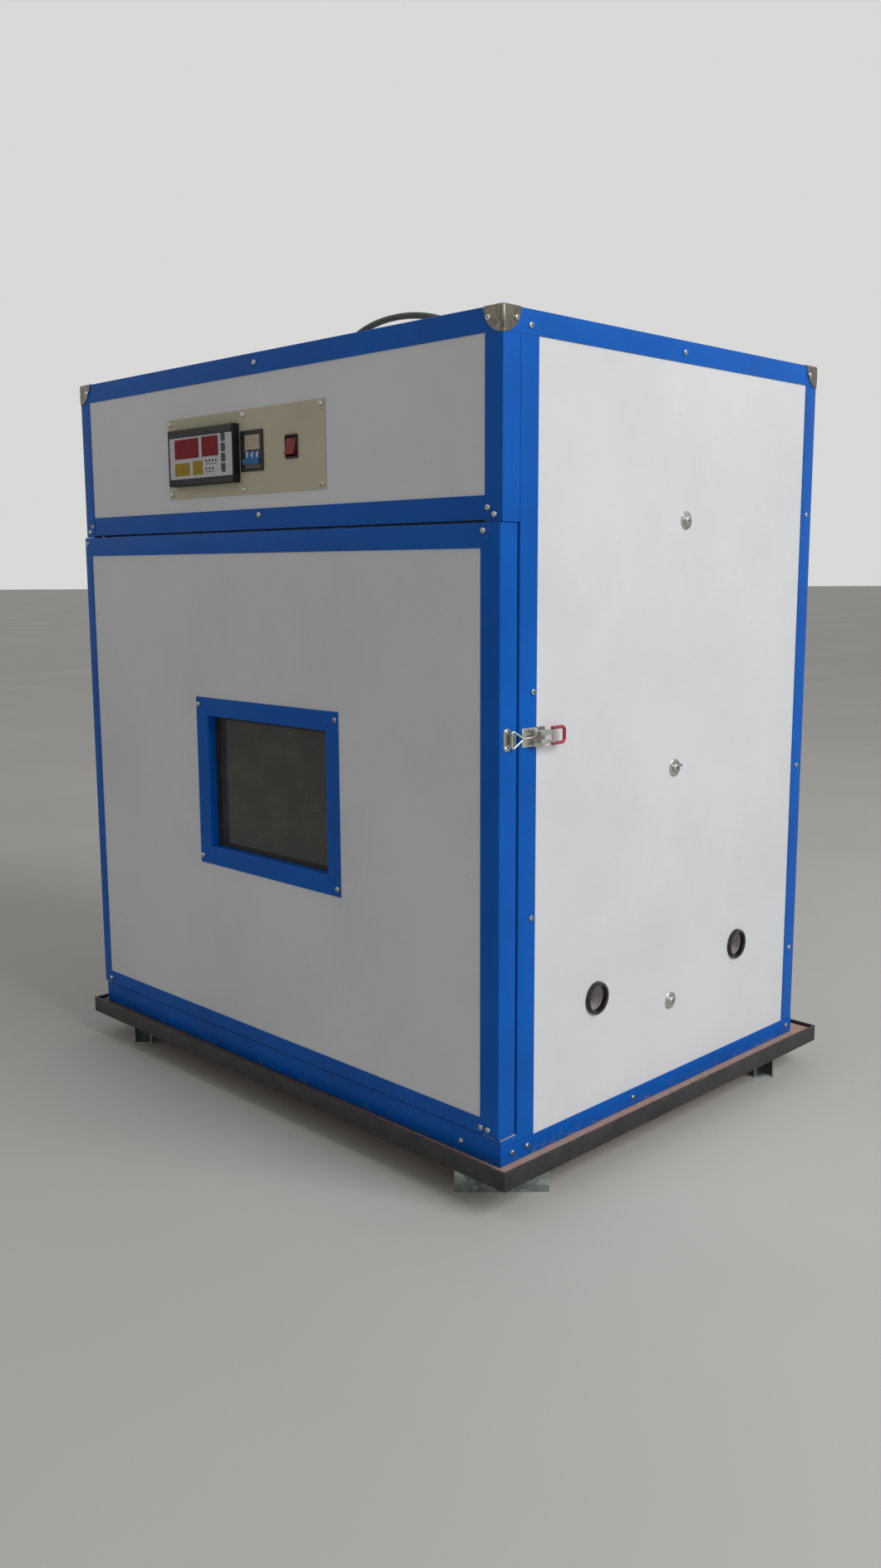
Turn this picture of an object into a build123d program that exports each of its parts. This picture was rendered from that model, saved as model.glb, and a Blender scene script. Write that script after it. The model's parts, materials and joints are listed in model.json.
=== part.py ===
"""Cabinet egg incubator on a steel base tray, built piece by piece in millimetres."""
import os
from math import atan2, cos, pi, radians, sin, tan

from build123d import *

# Driving sizes -------------------------------------------------------------------------------
cabinet_width = 912
cabinet_depth = 680
cabinet_height = 1020
panel = 30                  # foam-cored wall panels
fascia_height = 205
floor_thickness = 34
side_margin = 22            # base tray stands out past the cabinet on each side
front_margin = 16
back_margin = 42

# Base
angle_leg = 25              # steel angle bar around the base
angle_wall = 3
board_thickness = 17
board_clearance = 1
board_below_rim = 5
foot_height = 38
foot_length = 122
foot_width = 30
foot_wall = 2.5
foot_inset = 67             # foot centre from each outer side of its corner

# Blue edge trims
trim = 1.2
trim_face = 28
side_trim_face = 30
sill_trim_face = 34
side_sill_trim = 25

# Door
door_thickness = 28
door_proud = 4
door_gap = 3
door_trim_left, door_trim_right, door_trim_top, door_trim_bottom = 19.5, 31, 29, 21
seal_thickness = 4.5
seal_width = 12
seal_inset = 6
landing_clearance = 0.3
low_rail, high_rail = 28, 27    # rails inside the door opening, over and under the landing
window_left, window_width = 325.5, 270.5
window_bottom, window_height = 319.5, 197
window_flange = 26
reveal_depth = 13
gasket_width = 5
gasket_thickness = 3
pane = 4
pane_gap = 4

# Hinges
hinge_from_bottom, hinge_from_top = 113, 81
hinge_length = 76
leaf_thickness = 2
leaf_width = 31
knuckle_radius = 4
hinge_pin_radius = 2.5
hinge_clearance = 0.05
knuckle_gap = 0.4
hinge_out = 7               # pin axis from the cabinet's side
hinge_back = 26             # pin axis behind the cabinet's front

# Control plate and what it carries
plate_left, plate_rise, plate_width, plate_height, plate_thickness = 243, 48, 360, 114, 1.5
controller_in, controller_up = 16.5, 17          # from the plate's lower left corner
controller_width, controller_height, controller_proud = 160, 80, 12
controller_body_width, controller_body_height, controller_body_depth = 150, 72, 60
button_width, button_height, button_travel, button_clearance = 9, 11.5, 1.5, 0.35
button_proud = 1.2
button_pitch = 13.9
button_count = 4
button_well = 6             # depth of the pockets the buttons slide in
button_inset = 22           # button column from the controller's right side
button_low = 21             # lowest button centre above the controller's lower side
breaker_in, breaker_up, breaker_width, breaker_height = 180.5, 30.5, 50, 55
breaker_proud = 2.2
breaker_mouth_width, breaker_mouth_height, breaker_fit = 37, 45, 0.2
breaker_body_depth = 55
toggle_in, toggle_below = 6.5, 7   # drum's axis behind the plate and below the breaker's middle
toggle_radius = 8
toggle_width = 33
toggle_clearance = 0.35
rocker_in, rocker_up, rocker_width, rocker_height, rocker_proud = 292, 58, 25.5, 31, 2.2
key_width, key_height, key_clearance = 19, 24.5, 0.4
key_pin_radius = 0.9
shell_wall, shell_depth = 1.2, 18

# Side fittings
vent_from_front, vent_front_z, vent_from_back, vent_back_z = 185, 174, 165, 179
vent_outer, vent_bore, vent_proud = 45, 32, 5
vent_sleeve = 38
bolt_shifts = (-2, -5, 7.7)   # lower, middle and upper bolt, behind the pivot line
bolt_above_floor, bolt_below_top = 97, 23
washer_diameter, washer_thickness, bolt_shank, bolt_head, bolt_head_height = 24.5, 2, 8, 13, 4.5
bolt_clearance = 0.2
trim_corner_gap = 0.8       # fascia's post stops this short of the landing

# Draw latch on the right side, in the cabinet's own y and z
latch_below_top = 251        # from the door's top
latch_pivot_y, latch_pivot_out = 50, 6.8
bail_pivot_y, bail_pivot_out = 58, 5.8
latch_sheet = 1.2
lever_width, lever_tip_y, lever_out = 16, 78, 13.4
lever_round = 4.6
latch_plate, hook_width, latch_base_end = 28, 14, 74
ear_gap = 0.5
rivet_radius, rivet_clearance = 1.6, 0.05
bail_pin_radius = 1.3
bail_wire = 2.5
bail_stem = 3.6
bail_bar_y, bail_apex_y, bail_half_width = 10.5, 29, 11.5
hook_gap = 0.4
grip_wire = 4.5
grip_tip_y = 101

# Egg rack
tray_tilt = 45
rack_fan_clearance, rack_pan_clearance, rack_roof_clearance = 29, 17.5, 44.5
upright_depth, upright_width, upright_wall = 40, 20, 2
upright_lift, upright_short = 26, 5   # clear of the chamber's floor and ceiling
end_gap = 6                 # between an upright and the ends of the carriers
carrier_depth, carrier_height, carrier_wall, carrier_lip = 400, 25, 3, 15
pivot_radius, pivot_clearance = 6, 0.05
tray_rim, tray_wall, tray_clearance = 34, 2.5, 2
cell_pitch, cell_wall, cell_height = 48, 2, 15
link_arm, link_radius, link_thickness, link_width, link_end = 60, 4, 3, 16, 12

# Turning gears
gear_module = 2
sector_teeth, pinion_teeth = 60, 20
pressure_angle = 20
gear_backlash = 0.3
gear_width = 4
sector_span = 114           # degrees of the toothed arc
motor_size, motor_shaft = 56, 4

# Air, heat and water
fan_drop, fan_radius, fan_hub, fan_depth = 175, 88, 24, 22
fan_blades_count, fan_pitch = 6, 24
fan_motor_radius, fan_motor_length, fan_shaft = 32, 38, 4
fan_reach = 30              # front of the blades ahead of the motor
heater_tube, heater_width, heater_run, heater_drop, heater_off = 11, 330, 60, 210, 28
pan_width, pan_depth, pan_height, pan_wall = 560, 380, 48, 1.5

# Mains cord on the roof
cord_radius = 5
coil_radius, coil_band, coil_turn_height, coil_lift = 66, 22, 21, 0.3
plug_length, plug_width, plug_height = 44, 38, 22
plug_pin_spacing, plug_pin_length, plug_pin_radius = 19, 18, 2.4
gland_height = 14
gland_thread = 8
gland_x, gland_y = -212.0, -17.0

# Places that follow from the sizes ------------------------------------------------------------
board_top = foot_height + angle_wall + board_thickness
base_width = cabinet_width + 2 * side_margin
base_depth = cabinet_depth + front_margin + back_margin
left, right = -cabinet_width / 2, cabinet_width / 2
front = -base_depth / 2 + front_margin
back = front + cabinet_depth
bottom = board_top
top = bottom + cabinet_height
wall_front = front + panel
roof_under = top - panel
fascia_bottom = roof_under - fascia_height
door_bottom, door_top = bottom + floor_thickness + door_gap, fascia_bottom - door_gap
door_front = front - door_proud
door_back = door_front + door_thickness
landing = door_back + seal_thickness + landing_clearance
chamber_floor = bottom + floor_thickness
chamber_top = fascia_bottom + panel
partition_thickness = 20
motor_front = back - panel - fan_motor_length
fan_y = motor_front - fan_reach
fan_z = chamber_top - fan_drop
pivot_line = fan_y - rack_fan_clearance - carrier_depth / 2
tray_swing = (carrier_depth / 2) * sin(radians(tray_tilt)) + tray_rim * cos(radians(tray_tilt))
pivot_low = chamber_floor + pan_height + rack_pan_clearance + tray_swing
pivot_high = chamber_top - rack_roof_clearance - tray_swing
pivot_heights = (pivot_low, (pivot_low + pivot_high) / 2, pivot_high)
bolt_low, bolt_high = chamber_floor + bolt_above_floor, chamber_top - bolt_below_top
bolt_places = list(zip((pivot_line + shift for shift in bolt_shifts),
                       (bolt_low, (bolt_low + bolt_high) / 2, bolt_high)))
vent_places = ((front + vent_from_front, bottom + vent_front_z),
               (back - vent_from_back, bottom + vent_back_z))
hinge_heights = (door_bottom + hinge_from_bottom, door_top - hinge_from_top - hinge_length)
latch_mid = door_top - latch_below_top

os.makedirs("parts", exist_ok=True)


def block(x_span, y_span, z_span, mode=Mode.ADD):
    """A rectangular solid between pairs of x, y and z limits."""
    middle = [(span[0] + span[1]) / 2 for span in (x_span, y_span, z_span)]
    lengths = [span[1] - span[0] for span in (x_span, y_span, z_span)]
    with Locations(tuple(middle)):
        Box(*lengths, mode=mode)


def save(builder, name):
    """Label a finished piece and write it as a STEP file."""
    builder.part.label = name
    export_step(builder.part, f"parts/{name}.step")


def facing_front(x, z, y):
    """A plane that looks out of the cabinet's front at depth y."""
    return Plane((x, y, z), x_dir=(1, 0, 0), z_dir=(0, -1, 0))


def facing_side(side, y, z, out=0.0):
    """A plane that looks out of the cabinet's right (1) or left (-1) side, raised by out."""
    return Plane((side * (right + out), y, z), x_dir=(0, side, 0), z_dir=(side, 0, 0))


# Base -------------------------------------------------------------------------------------------
rim_low, rim_high = foot_height, board_top + board_below_rim
with BuildPart() as base_frame:
    with BuildSketch(Plane.XY.offset(rim_low)):
        Rectangle(base_width, base_depth)
        Rectangle(base_width - 2 * angle_leg, base_depth - 2 * angle_leg, mode=Mode.SUBTRACT)
    extrude(amount=angle_wall)
    with BuildSketch(Plane.XY.offset(rim_low)):
        Rectangle(base_width, base_depth)
        Rectangle(base_width - 2 * angle_wall, base_depth - 2 * angle_wall, mode=Mode.SUBTRACT)
    extrude(amount=rim_high - rim_low)
save(base_frame, "base_frame")

with BuildPart() as base_board:
    with BuildSketch(Plane.XY.offset(board_top - board_thickness)):
        inset = 2 * (angle_wall + board_clearance)
        Rectangle(base_width - inset, base_depth - inset)
    extrude(amount=board_thickness)
save(base_board, "base_board")

with BuildPart() as base_feet:
    for side_x in (-1, 1):
        for side_y in (-1, 1):
            corner = (side_x * (base_width / 2 - foot_inset), side_y * (base_depth / 2 - foot_inset))
            with Locations(Location((*corner, 0), (0, 0, -45 * side_x * side_y))):
                Box(foot_length, foot_width, foot_height, align=(Align.CENTER, Align.CENTER, Align.MIN))
                with Locations((0, 0, foot_wall)):
                    Box(foot_length, foot_width - 2 * foot_wall, foot_height,
                        align=(Align.CENTER, Align.CENTER, Align.MIN), mode=Mode.SUBTRACT)
save(base_feet, "base_feet")

# Cabinet panels ---------------------------------------------------------------------------------
with BuildPart() as floor_panel:
    block((left, right), (front, back), (bottom + trim, chamber_floor))
save(floor_panel, "floor_panel")

with BuildPart() as left_wall:
    block((left, left + panel), (landing + trim, back), (chamber_floor, roof_under))
    for bolt_y, bolt_z in bolt_places:
        with Locations(facing_side(-1, bolt_y, bolt_z).location):
            Hole(bolt_shank / 2 + bolt_clearance)
save(left_wall, "left_wall")

with BuildPart() as right_wall:
    block((right - panel, right), (landing + trim, back), (chamber_floor, roof_under))
    for bolt_y, bolt_z in bolt_places:
        with Locations(facing_side(1, bolt_y, bolt_z).location):
            Hole(bolt_shank / 2 + bolt_clearance)
    for vent_y, vent_z in vent_places:
        with Locations(facing_side(1, vent_y, vent_z).location):
            Hole(vent_sleeve / 2)
save(right_wall, "right_wall")

with BuildPart() as back_wall:
    block((left + panel, right - panel), (back - panel, back), (chamber_floor, roof_under))
save(back_wall, "back_wall")

with BuildPart() as roof_panel:
    block((left, right), (front, back), (roof_under, top - trim))
    with Locations((gland_x, gland_y, top)):
        Hole(gland_thread + bolt_clearance)
save(roof_panel, "roof_panel")

with BuildPart() as door_frame_rails:
    block((left + panel, right - panel), (landing, landing + panel),
          (chamber_floor, chamber_floor + low_rail))
    block((left + panel, right - panel), (landing, landing + panel), (door_top - high_rail, chamber_top))
save(door_frame_rails, "door_frame_rails")

with BuildPart() as partition_panel:
    block((left + panel, right - panel), (landing, back - panel),
          (chamber_top, chamber_top + partition_thickness))
save(partition_panel, "partition_panel")

plate_x, plate_low = left + plate_left, fascia_bottom + plate_rise
controller_mid_x = plate_x + controller_in + controller_width / 2
controller_mid_z = plate_low + controller_up + controller_height / 2
breaker_mid_x = plate_x + breaker_in + breaker_width / 2
breaker_mid_z = plate_low + breaker_up + breaker_height / 2
key_mid_x, key_mid_z = plate_x + rocker_in, plate_low + rocker_up


def control_cutouts(margin):
    """Through cuts for the controller, breaker and rocker bodies, each margin larger all round."""
    for mid_x, mid_z, wide, high in (
            (controller_mid_x, controller_mid_z, controller_body_width, controller_body_height),
            (breaker_mid_x, breaker_mid_z, breaker_mouth_width, breaker_mouth_height),
            (key_mid_x, key_mid_z, key_width + 2 * shell_wall, key_height + 2 * shell_wall)):
        block((mid_x - wide / 2 - margin, mid_x + wide / 2 + margin), (front - panel, front + 2 * panel),
              (mid_z - high / 2 - margin, mid_z + high / 2 + margin), mode=Mode.SUBTRACT)


with BuildPart() as fascia_panel:
    block((left, right), (front, landing), (fascia_bottom, roof_under))
    control_cutouts(1.0)
save(fascia_panel, "fascia_panel")

# Blue edge trims on the fixed cabinet, each strip an angle or a flat --------------------------------
with BuildPart() as cabinet_trim:
    ring_low = roof_under + 2
    with BuildSketch(Plane.XY.offset(ring_low)):
        with Locations((0, front + cabinet_depth / 2)):
            Rectangle(cabinet_width + 2 * trim, cabinet_depth + 2 * trim)
            Rectangle(cabinet_width, cabinet_depth, mode=Mode.SUBTRACT)
    extrude(amount=top - ring_low)
    with BuildSketch(Plane.XY.offset(top - trim)):
        with Locations((0, front + cabinet_depth / 2)):
            Rectangle(cabinet_width + 2 * trim, cabinet_depth + 2 * trim)
            Rectangle(cabinet_width - 2 * trim_face, cabinet_depth - 2 * trim_face, mode=Mode.SUBTRACT)
    extrude(amount=trim)
    # bottom rail: face strips with a turned-in foot under the floor panel
    with BuildSketch(Plane.XY.offset(bottom)):
        with Locations((0, front + cabinet_depth / 2)):
            Rectangle(cabinet_width + 2 * trim, cabinet_depth + 2 * trim)
            Rectangle(cabinet_width - 2 * trim_face, cabinet_depth - 2 * trim_face, mode=Mode.SUBTRACT)
    extrude(amount=trim)
    with BuildSketch(Plane.XY.offset(bottom)):
        with Locations((0, front + cabinet_depth / 2)):
            Rectangle(cabinet_width + 2 * trim, cabinet_depth + 2 * trim)
            Rectangle(cabinet_width, cabinet_depth, mode=Mode.SUBTRACT)
    extrude(amount=side_sill_trim)
    block((left - trim, right + trim), (front - trim, front), (bottom, bottom + sill_trim_face))
    for side in (-1, 1):
        face = side * right
        outer = tuple(sorted((face, face + side * trim)))
        # front post: an angle over the wall's front edge, which the door closes on
        block(outer, (landing, wall_front + side_trim_face), (bottom + side_sill_trim, ring_low))
        edge = tuple(sorted((face, face - side * panel)))
        block(edge, (landing, landing + trim), (chamber_floor, fascia_bottom))
        # back post
        block(outer, (back - trim_face, back + trim), (bottom + side_sill_trim, ring_low))
        rear = tuple(sorted((face + side * trim, face - side * trim_face)))
        block(rear, (back, back + trim), (bottom + side_sill_trim, ring_low))
        # fascia's own post, from the roof rail down to the door
        block(outer, (front - trim, landing - trim_corner_gap), (fascia_bottom, ring_low))
        post = door_trim_left + 5.5 if side < 0 else trim_face
        rear = tuple(sorted((face + side * trim, face - side * post)))
        block(rear, (front - trim, front), (fascia_bottom, ring_low))
    block((left - trim, right + trim), (front - trim, front), (fascia_bottom, fascia_bottom + trim_face))
save(cabinet_trim, "cabinet_trim")

cap_leg, cap_face, cap_sheet = 33, 29, 1.0
with BuildPart() as corner_caps:
    for side in (-1, 1):
        for end in (-1, 1):
            corner_x = side * (right + trim)
            corner_y = (front - trim) if end < 0 else (back + trim)
            with BuildSketch(Plane.XY.offset(top - cap_face)):
                with Locations((corner_x - side * (cap_leg / 2 - cap_sheet),
                                corner_y - end * (cap_leg / 2 - cap_sheet))):
                    Rectangle(cap_leg, cap_leg)
            extrude(amount=cap_face + cap_sheet)
            inner_x = tuple(sorted((corner_x, corner_x - side * 2 * cap_leg)))
            inner_y = tuple(sorted((corner_y, corner_y - end * 2 * cap_leg)))
            block(inner_x, inner_y, (top - 2 * cap_face, top), mode=Mode.SUBTRACT)
save(corner_caps, "corner_caps")

plate_face = front - plate_thickness

# Screws ------------------------------------------------------------------------------------------
screw_head, screw_rise, screw_shank, screw_grip = 7.5, 2.2, 3.5, 12


def pan_screw(seat):
    """A pan-head screw standing on the seat plane, with its shank going in."""
    with Locations(seat.location):
        Cone(screw_head / 2, screw_head / 2 - 1.2, screw_rise,
             align=(Align.CENTER, Align.CENTER, Align.MIN))
        Cylinder(screw_shank / 2, screw_grip, align=(Align.CENTER, Align.CENTER, Align.MAX))


sill_mid, rail_mid = bottom + 15, top - 15
low_rail_mid = fascia_bottom + 14
fascia_screws = ((left + 457, top - 13), (left + 459.5, fascia_bottom + 19.5), (left + 20, low_rail_mid),
                 (right - 21.5, low_rail_mid), (left + 11, fascia_bottom + 6),
                 (right - 11, fascia_bottom + 6), (right - 66, sill_mid))
front_post_y, back_post_y = wall_front + 22, back - 14
side_screws = ((front_post_y + 1, bottom + 585), (front_post_y, bottom + 308), (front + 45, top - 18),
               (front + 20, bottom + 14), (front + 48, bottom + 14), (front + 267, bottom + 12.5),
               (front + 347, rail_mid), (back_post_y, bottom + 807), (back_post_y, bottom + 431),
               (back_post_y, bottom + 142), (back_post_y, bottom + 14))
plate_screw_in, plate_screw_edge = 7.5, 6.5
cap_screw_in, cap_screw_down = 20, 13
with BuildPart() as cabinet_screws:
    for x, z in fascia_screws:
        pan_screw(facing_front(x, z, front - trim))
    for side in (-1, 1):
        for y, z in side_screws:
            pan_screw(facing_side(side, y, z, trim))
        for end in (-1, 1):
            cap_y = front if end < 0 else back
            pan_screw(facing_side(side, cap_y - end * cap_screw_in, top - cap_screw_down, trim + cap_sheet))
            pan_screw(Plane((side * (right - cap_screw_in), cap_y + end * (trim + cap_sheet),
                             top - cap_screw_down), z_dir=(0, end, 0)))
    for across in (plate_screw_in, plate_width / 2 + 5.5, plate_width - plate_screw_in):
        for up in (plate_screw_edge, plate_height - plate_screw_edge):
            pan_screw(facing_front(plate_x + across, plate_low + up, plate_face))
save(cabinet_screws, "cabinet_screws")

# Control plate -----------------------------------------------------------------------------------
with BuildPart() as control_plate:
    block((plate_x, plate_x + plate_width), (plate_face, front), (plate_low, plate_low + plate_height))
    control_cutouts(0.5)
save(control_plate, "control_plate")

button_x = controller_mid_x + controller_width / 2 - button_inset
button_low_z = controller_mid_z - controller_height / 2 + button_low
button_places = [button_low_z + step * button_pitch for step in range(button_count)]
bezel_face = plate_face - controller_proud
with BuildPart() as controller_case:
    with BuildSketch(Plane.XZ.offset(-plate_face)):
        with Locations((controller_mid_x, controller_mid_z)):
            RectangleRounded(controller_width, controller_height, 2.5)
    extrude(amount=controller_proud)
    chamfer(controller_case.faces().sort_by(Axis.Y)[0].edges(), 1.5)
    block((controller_mid_x - controller_body_width / 2, controller_mid_x + controller_body_width / 2),
          (plate_face, front + controller_body_depth),
          (controller_mid_z - controller_body_height / 2, controller_mid_z + controller_body_height / 2))
    for place in button_places:
        half_w, half_h = button_width / 2 + button_clearance, button_height / 2 + button_clearance
        block((button_x - half_w, button_x + half_w), (bezel_face - 1, bezel_face + button_well),
              (place - half_h, place + half_h), mode=Mode.SUBTRACT)
save(controller_case, "controller_case")

for number, place in enumerate(reversed(button_places), start=1):
    with BuildPart() as button:
        block((button_x - button_width / 2, button_x + button_width / 2),
              (bezel_face - button_proud, bezel_face + button_well - button_travel - button_clearance),
              (place - button_height / 2, place + button_height / 2))
        fillet(button.faces().sort_by(Axis.Y)[0].edges(), 0.5)
    save(button, f"controller_button_{number}")

# Breaker: black surround, beige body with three ribs, blue toggle bar -------------------------------
with BuildPart() as breaker_bezel:
    with BuildSketch(Plane.XZ.offset(-plate_face)):
        with Locations((breaker_mid_x, breaker_mid_z)):
            RectangleRounded(breaker_width, breaker_height, 1.5)
            Rectangle(breaker_mouth_width, breaker_mouth_height, mode=Mode.SUBTRACT)
    extrude(amount=breaker_proud)
save(breaker_bezel, "breaker_bezel")

toggle_y, toggle_z = plate_face + toggle_in, breaker_mid_z - toggle_below
body_half = breaker_mouth_width / 2 - breaker_fit
body_rise = breaker_mouth_height / 2 - breaker_fit
with BuildPart() as breaker_body:
    block((breaker_mid_x - body_half, breaker_mid_x + body_half),
          (plate_face + 0.5, front + breaker_body_depth),
          (breaker_mid_z - body_rise, breaker_mid_z + body_rise))
    with Locations(Location((breaker_mid_x, toggle_y, toggle_z), (0, 90, 0))):
        Cylinder(toggle_radius + toggle_clearance, toggle_width + 2 * toggle_clearance, mode=Mode.SUBTRACT)
    slot_side = toggle_width / 2 + toggle_clearance
    block((breaker_mid_x - slot_side, breaker_mid_x + slot_side), (plate_face - 5, plate_face + 4.5),
          (toggle_z - 14, toggle_z + 9), mode=Mode.SUBTRACT)
save(breaker_body, "breaker_body")

with BuildPart() as breaker_toggle:
    with Locations(Location((breaker_mid_x, toggle_y, toggle_z), (0, 90, 0))):
        Cylinder(toggle_radius, toggle_width)
    # the bar points forward and down from the drum when the breaker is off
    with BuildSketch(Plane.YZ.offset(breaker_mid_x - toggle_width / 2)):
        with BuildLine():
            Polyline((toggle_y, toggle_z + 3), (toggle_y - 12.5, toggle_z - 5.5),
                     (toggle_y - 10.5, toggle_z - 11.5), (toggle_y - 6, toggle_z - 8),
                     (toggle_y, toggle_z - 3), close=True)
        make_face()
    extrude(amount=toggle_width)
    for rib in (-1, 0, 1):
        with Locations(Location((breaker_mid_x + rib * 11.5, toggle_y, toggle_z), (0, 90, 0))):
            Cylinder(toggle_radius + 0.25, 2.4)
save(breaker_toggle, "breaker_toggle")

# Rocker switch -----------------------------------------------------------------------------------
key_pivot_y = plate_face - 1
with BuildPart() as rocker_bezel:
    with BuildSketch(Plane.XZ.offset(-plate_face)):
        with Locations((key_mid_x, key_mid_z)):
            RectangleRounded(rocker_width, rocker_height, 1.5)
    extrude(amount=rocker_proud)
    half_w, half_h = key_width / 2 + shell_wall, key_height / 2 + shell_wall
    block((key_mid_x - half_w, key_mid_x + half_w), (plate_face, plate_face + shell_depth),
          (key_mid_z - half_h, key_mid_z + half_h))
    half_w, half_h = key_width / 2 + key_clearance, key_height / 2 + key_clearance
    block((key_mid_x - half_w, key_mid_x + half_w),
          (plate_face - rocker_proud - 1, plate_face + shell_depth - shell_wall),
          (key_mid_z - half_h, key_mid_z + half_h), mode=Mode.SUBTRACT)
    with Locations(Location((key_mid_x, key_pivot_y, key_mid_z), (0, 90, 0))):
        Cylinder(key_pin_radius, key_width + 2 * key_clearance + shell_wall)
save(rocker_bezel, "rocker_bezel")

with BuildPart() as rocker_key:
    with BuildSketch(Plane.YZ.offset(key_mid_x - key_width / 2)):
        # two flat faces that meet at the pivot line, with a round back inside the shell
        reach = key_height / 2 - 1
        low, high = (key_pivot_y - 6, key_mid_z - reach + 0.7), (key_pivot_y - 0.5, key_mid_z + reach)
        rear = key_pivot_y + 2.5
        with BuildLine():
            Polyline((rear, key_mid_z + reach - 1), high, (key_pivot_y - 2.4, key_mid_z), low,
                     (rear, key_mid_z - reach + 1))
            ThreePointArc((rear, key_mid_z - reach + 1), (key_pivot_y + 7, key_mid_z),
                          (rear, key_mid_z + reach - 1))
        make_face()
    extrude(amount=key_width)
    with Locations(Location((key_mid_x, key_pivot_y, key_mid_z), (0, 90, 0))):
        Cylinder(key_pin_radius + key_clearance / 2, key_width * 2, mode=Mode.SUBTRACT)
save(rocker_key, "rocker_key")

# Vent rings, bolts and washers ----------------------------------------------------------------------
with BuildPart() as vent_rings:
    for vent_y, vent_z in vent_places:
        seat = facing_side(1, vent_y, vent_z)
        with BuildSketch(seat):
            Circle(vent_outer / 2)
        extrude(amount=vent_proud)
        with BuildSketch(seat):
            Circle(vent_sleeve / 2 - 0.2)
        extrude(amount=-panel)
        with BuildSketch(seat.offset(vent_proud)):
            Circle(vent_bore / 2)
        extrude(amount=-(vent_proud + panel), mode=Mode.SUBTRACT)
    rounded = vent_rings.faces().group_by(Axis.X)[-1].edges()
    fillet(rounded, 1.8)
save(vent_rings, "vent_rings")

with BuildPart() as rack_bolts:
    for bolt_y, bolt_z in bolt_places:
        for side in (-1, 1):
            seat = facing_side(side, bolt_y, bolt_z)
            with Locations(seat.location):
                Cylinder(washer_diameter / 2, washer_thickness,
                         align=(Align.CENTER, Align.CENTER, Align.MIN))
                Cylinder(bolt_shank / 2, panel - 0.2, align=(Align.CENTER, Align.CENTER, Align.MAX))
            with Locations(seat.offset(washer_thickness).location):
                Cone(bolt_head / 2, bolt_head / 2 - 2, bolt_head_height,
                     align=(Align.CENTER, Align.CENTER, Align.MIN))
save(rack_bolts, "rack_bolts")

# Door --------------------------------------------------------------------------------------------
hole_left, hole_right = left + window_left, left + window_left + window_width
hole_low, hole_high = bottom + window_bottom, bottom + window_bottom + window_height
with BuildPart() as door_panel:
    block((left, right), (door_front, door_back), (door_bottom + trim, door_top - trim))
    block((hole_left - trim, hole_right + trim), (door_front - 1, door_back + 1),
          (hole_low - trim, hole_high + trim), mode=Mode.SUBTRACT)
save(door_panel, "door_panel")

with BuildPart() as door_trim:
    # face frame
    block((left - trim, right + trim), (door_front - trim, door_front), (door_bottom, door_top))
    block((left + door_trim_left, right - door_trim_right), (door_front - 2 * trim, door_front + trim),
          (door_bottom + door_trim_bottom, door_top - door_trim_top), mode=Mode.SUBTRACT)
    # turned back over all four edges
    block((left - trim, left), (door_front, door_back), (door_bottom, door_top))
    block((right, right + trim), (door_front, door_back), (door_bottom, door_top))
    block((left, right), (door_front, door_back), (door_bottom, door_bottom + trim))
    block((left, right), (door_front, door_back), (door_top - trim, door_top))
save(door_trim, "door_trim")

with BuildPart() as window_trim:
    block((hole_left - window_flange - trim, hole_right + window_flange + trim),
          (door_front - trim, door_front),
          (hole_low - window_flange - trim, hole_high + window_flange + trim))
    block((hole_left - trim, hole_right + trim), (door_front, door_front + reveal_depth),
          (hole_low - trim, hole_high + trim))
    block((hole_left, hole_right), (door_front - 2 * trim, door_front + reveal_depth + 1),
          (hole_low, hole_high), mode=Mode.SUBTRACT)
save(window_trim, "window_trim")

gasket_front = door_front + reveal_depth
with BuildPart() as window_gasket:
    block((hole_left - trim, hole_right + trim), (gasket_front, gasket_front + gasket_thickness),
          (hole_low - trim, hole_high + trim))
    block((hole_left + gasket_width, hole_right - gasket_width), (gasket_front - 1, door_back),
          (hole_low + gasket_width, hole_high - gasket_width), mode=Mode.SUBTRACT)
save(window_gasket, "window_gasket")

with BuildPart() as window_glass:
    for pane_front in (gasket_front + gasket_thickness, gasket_front + gasket_thickness + pane + pane_gap):
        block((hole_left - trim, hole_right + trim), (pane_front, min(pane_front + pane, door_back)),
              (hole_low - trim, hole_high + trim))
save(window_glass, "window_glass")

with BuildPart() as door_seal:
    seal_outer = (left + seal_inset, right - seal_inset), (door_bottom + seal_inset, door_top - seal_inset)
    block(seal_outer[0], (door_back, door_back + seal_thickness), seal_outer[1])
    block((seal_outer[0][0] + seal_width, seal_outer[0][1] - seal_width), (door_back - 1, landing),
          (seal_outer[1][0] + seal_width, seal_outer[1][1] - seal_width), mode=Mode.SUBTRACT)
save(door_seal, "door_seal")

door_screw_places = ((left + 8, door_top - 9), (right - 25, door_top - 9), (left + 19, door_bottom + 9),
                     (right - 28, door_bottom + 9), (right - 16, door_bottom + 9))
flange_mid = window_flange - 4.5
window_screws = tuple((x, z) for x in (hole_left - flange_mid, hole_right + flange_mid)
                      for z in (hole_low - flange_mid + 5, hole_high + flange_mid - 5))
with BuildPart() as door_screws:
    for x, z in door_screw_places + window_screws:
        pan_screw(facing_front(x, z, door_front - trim))
save(door_screws, "door_screws")

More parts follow.
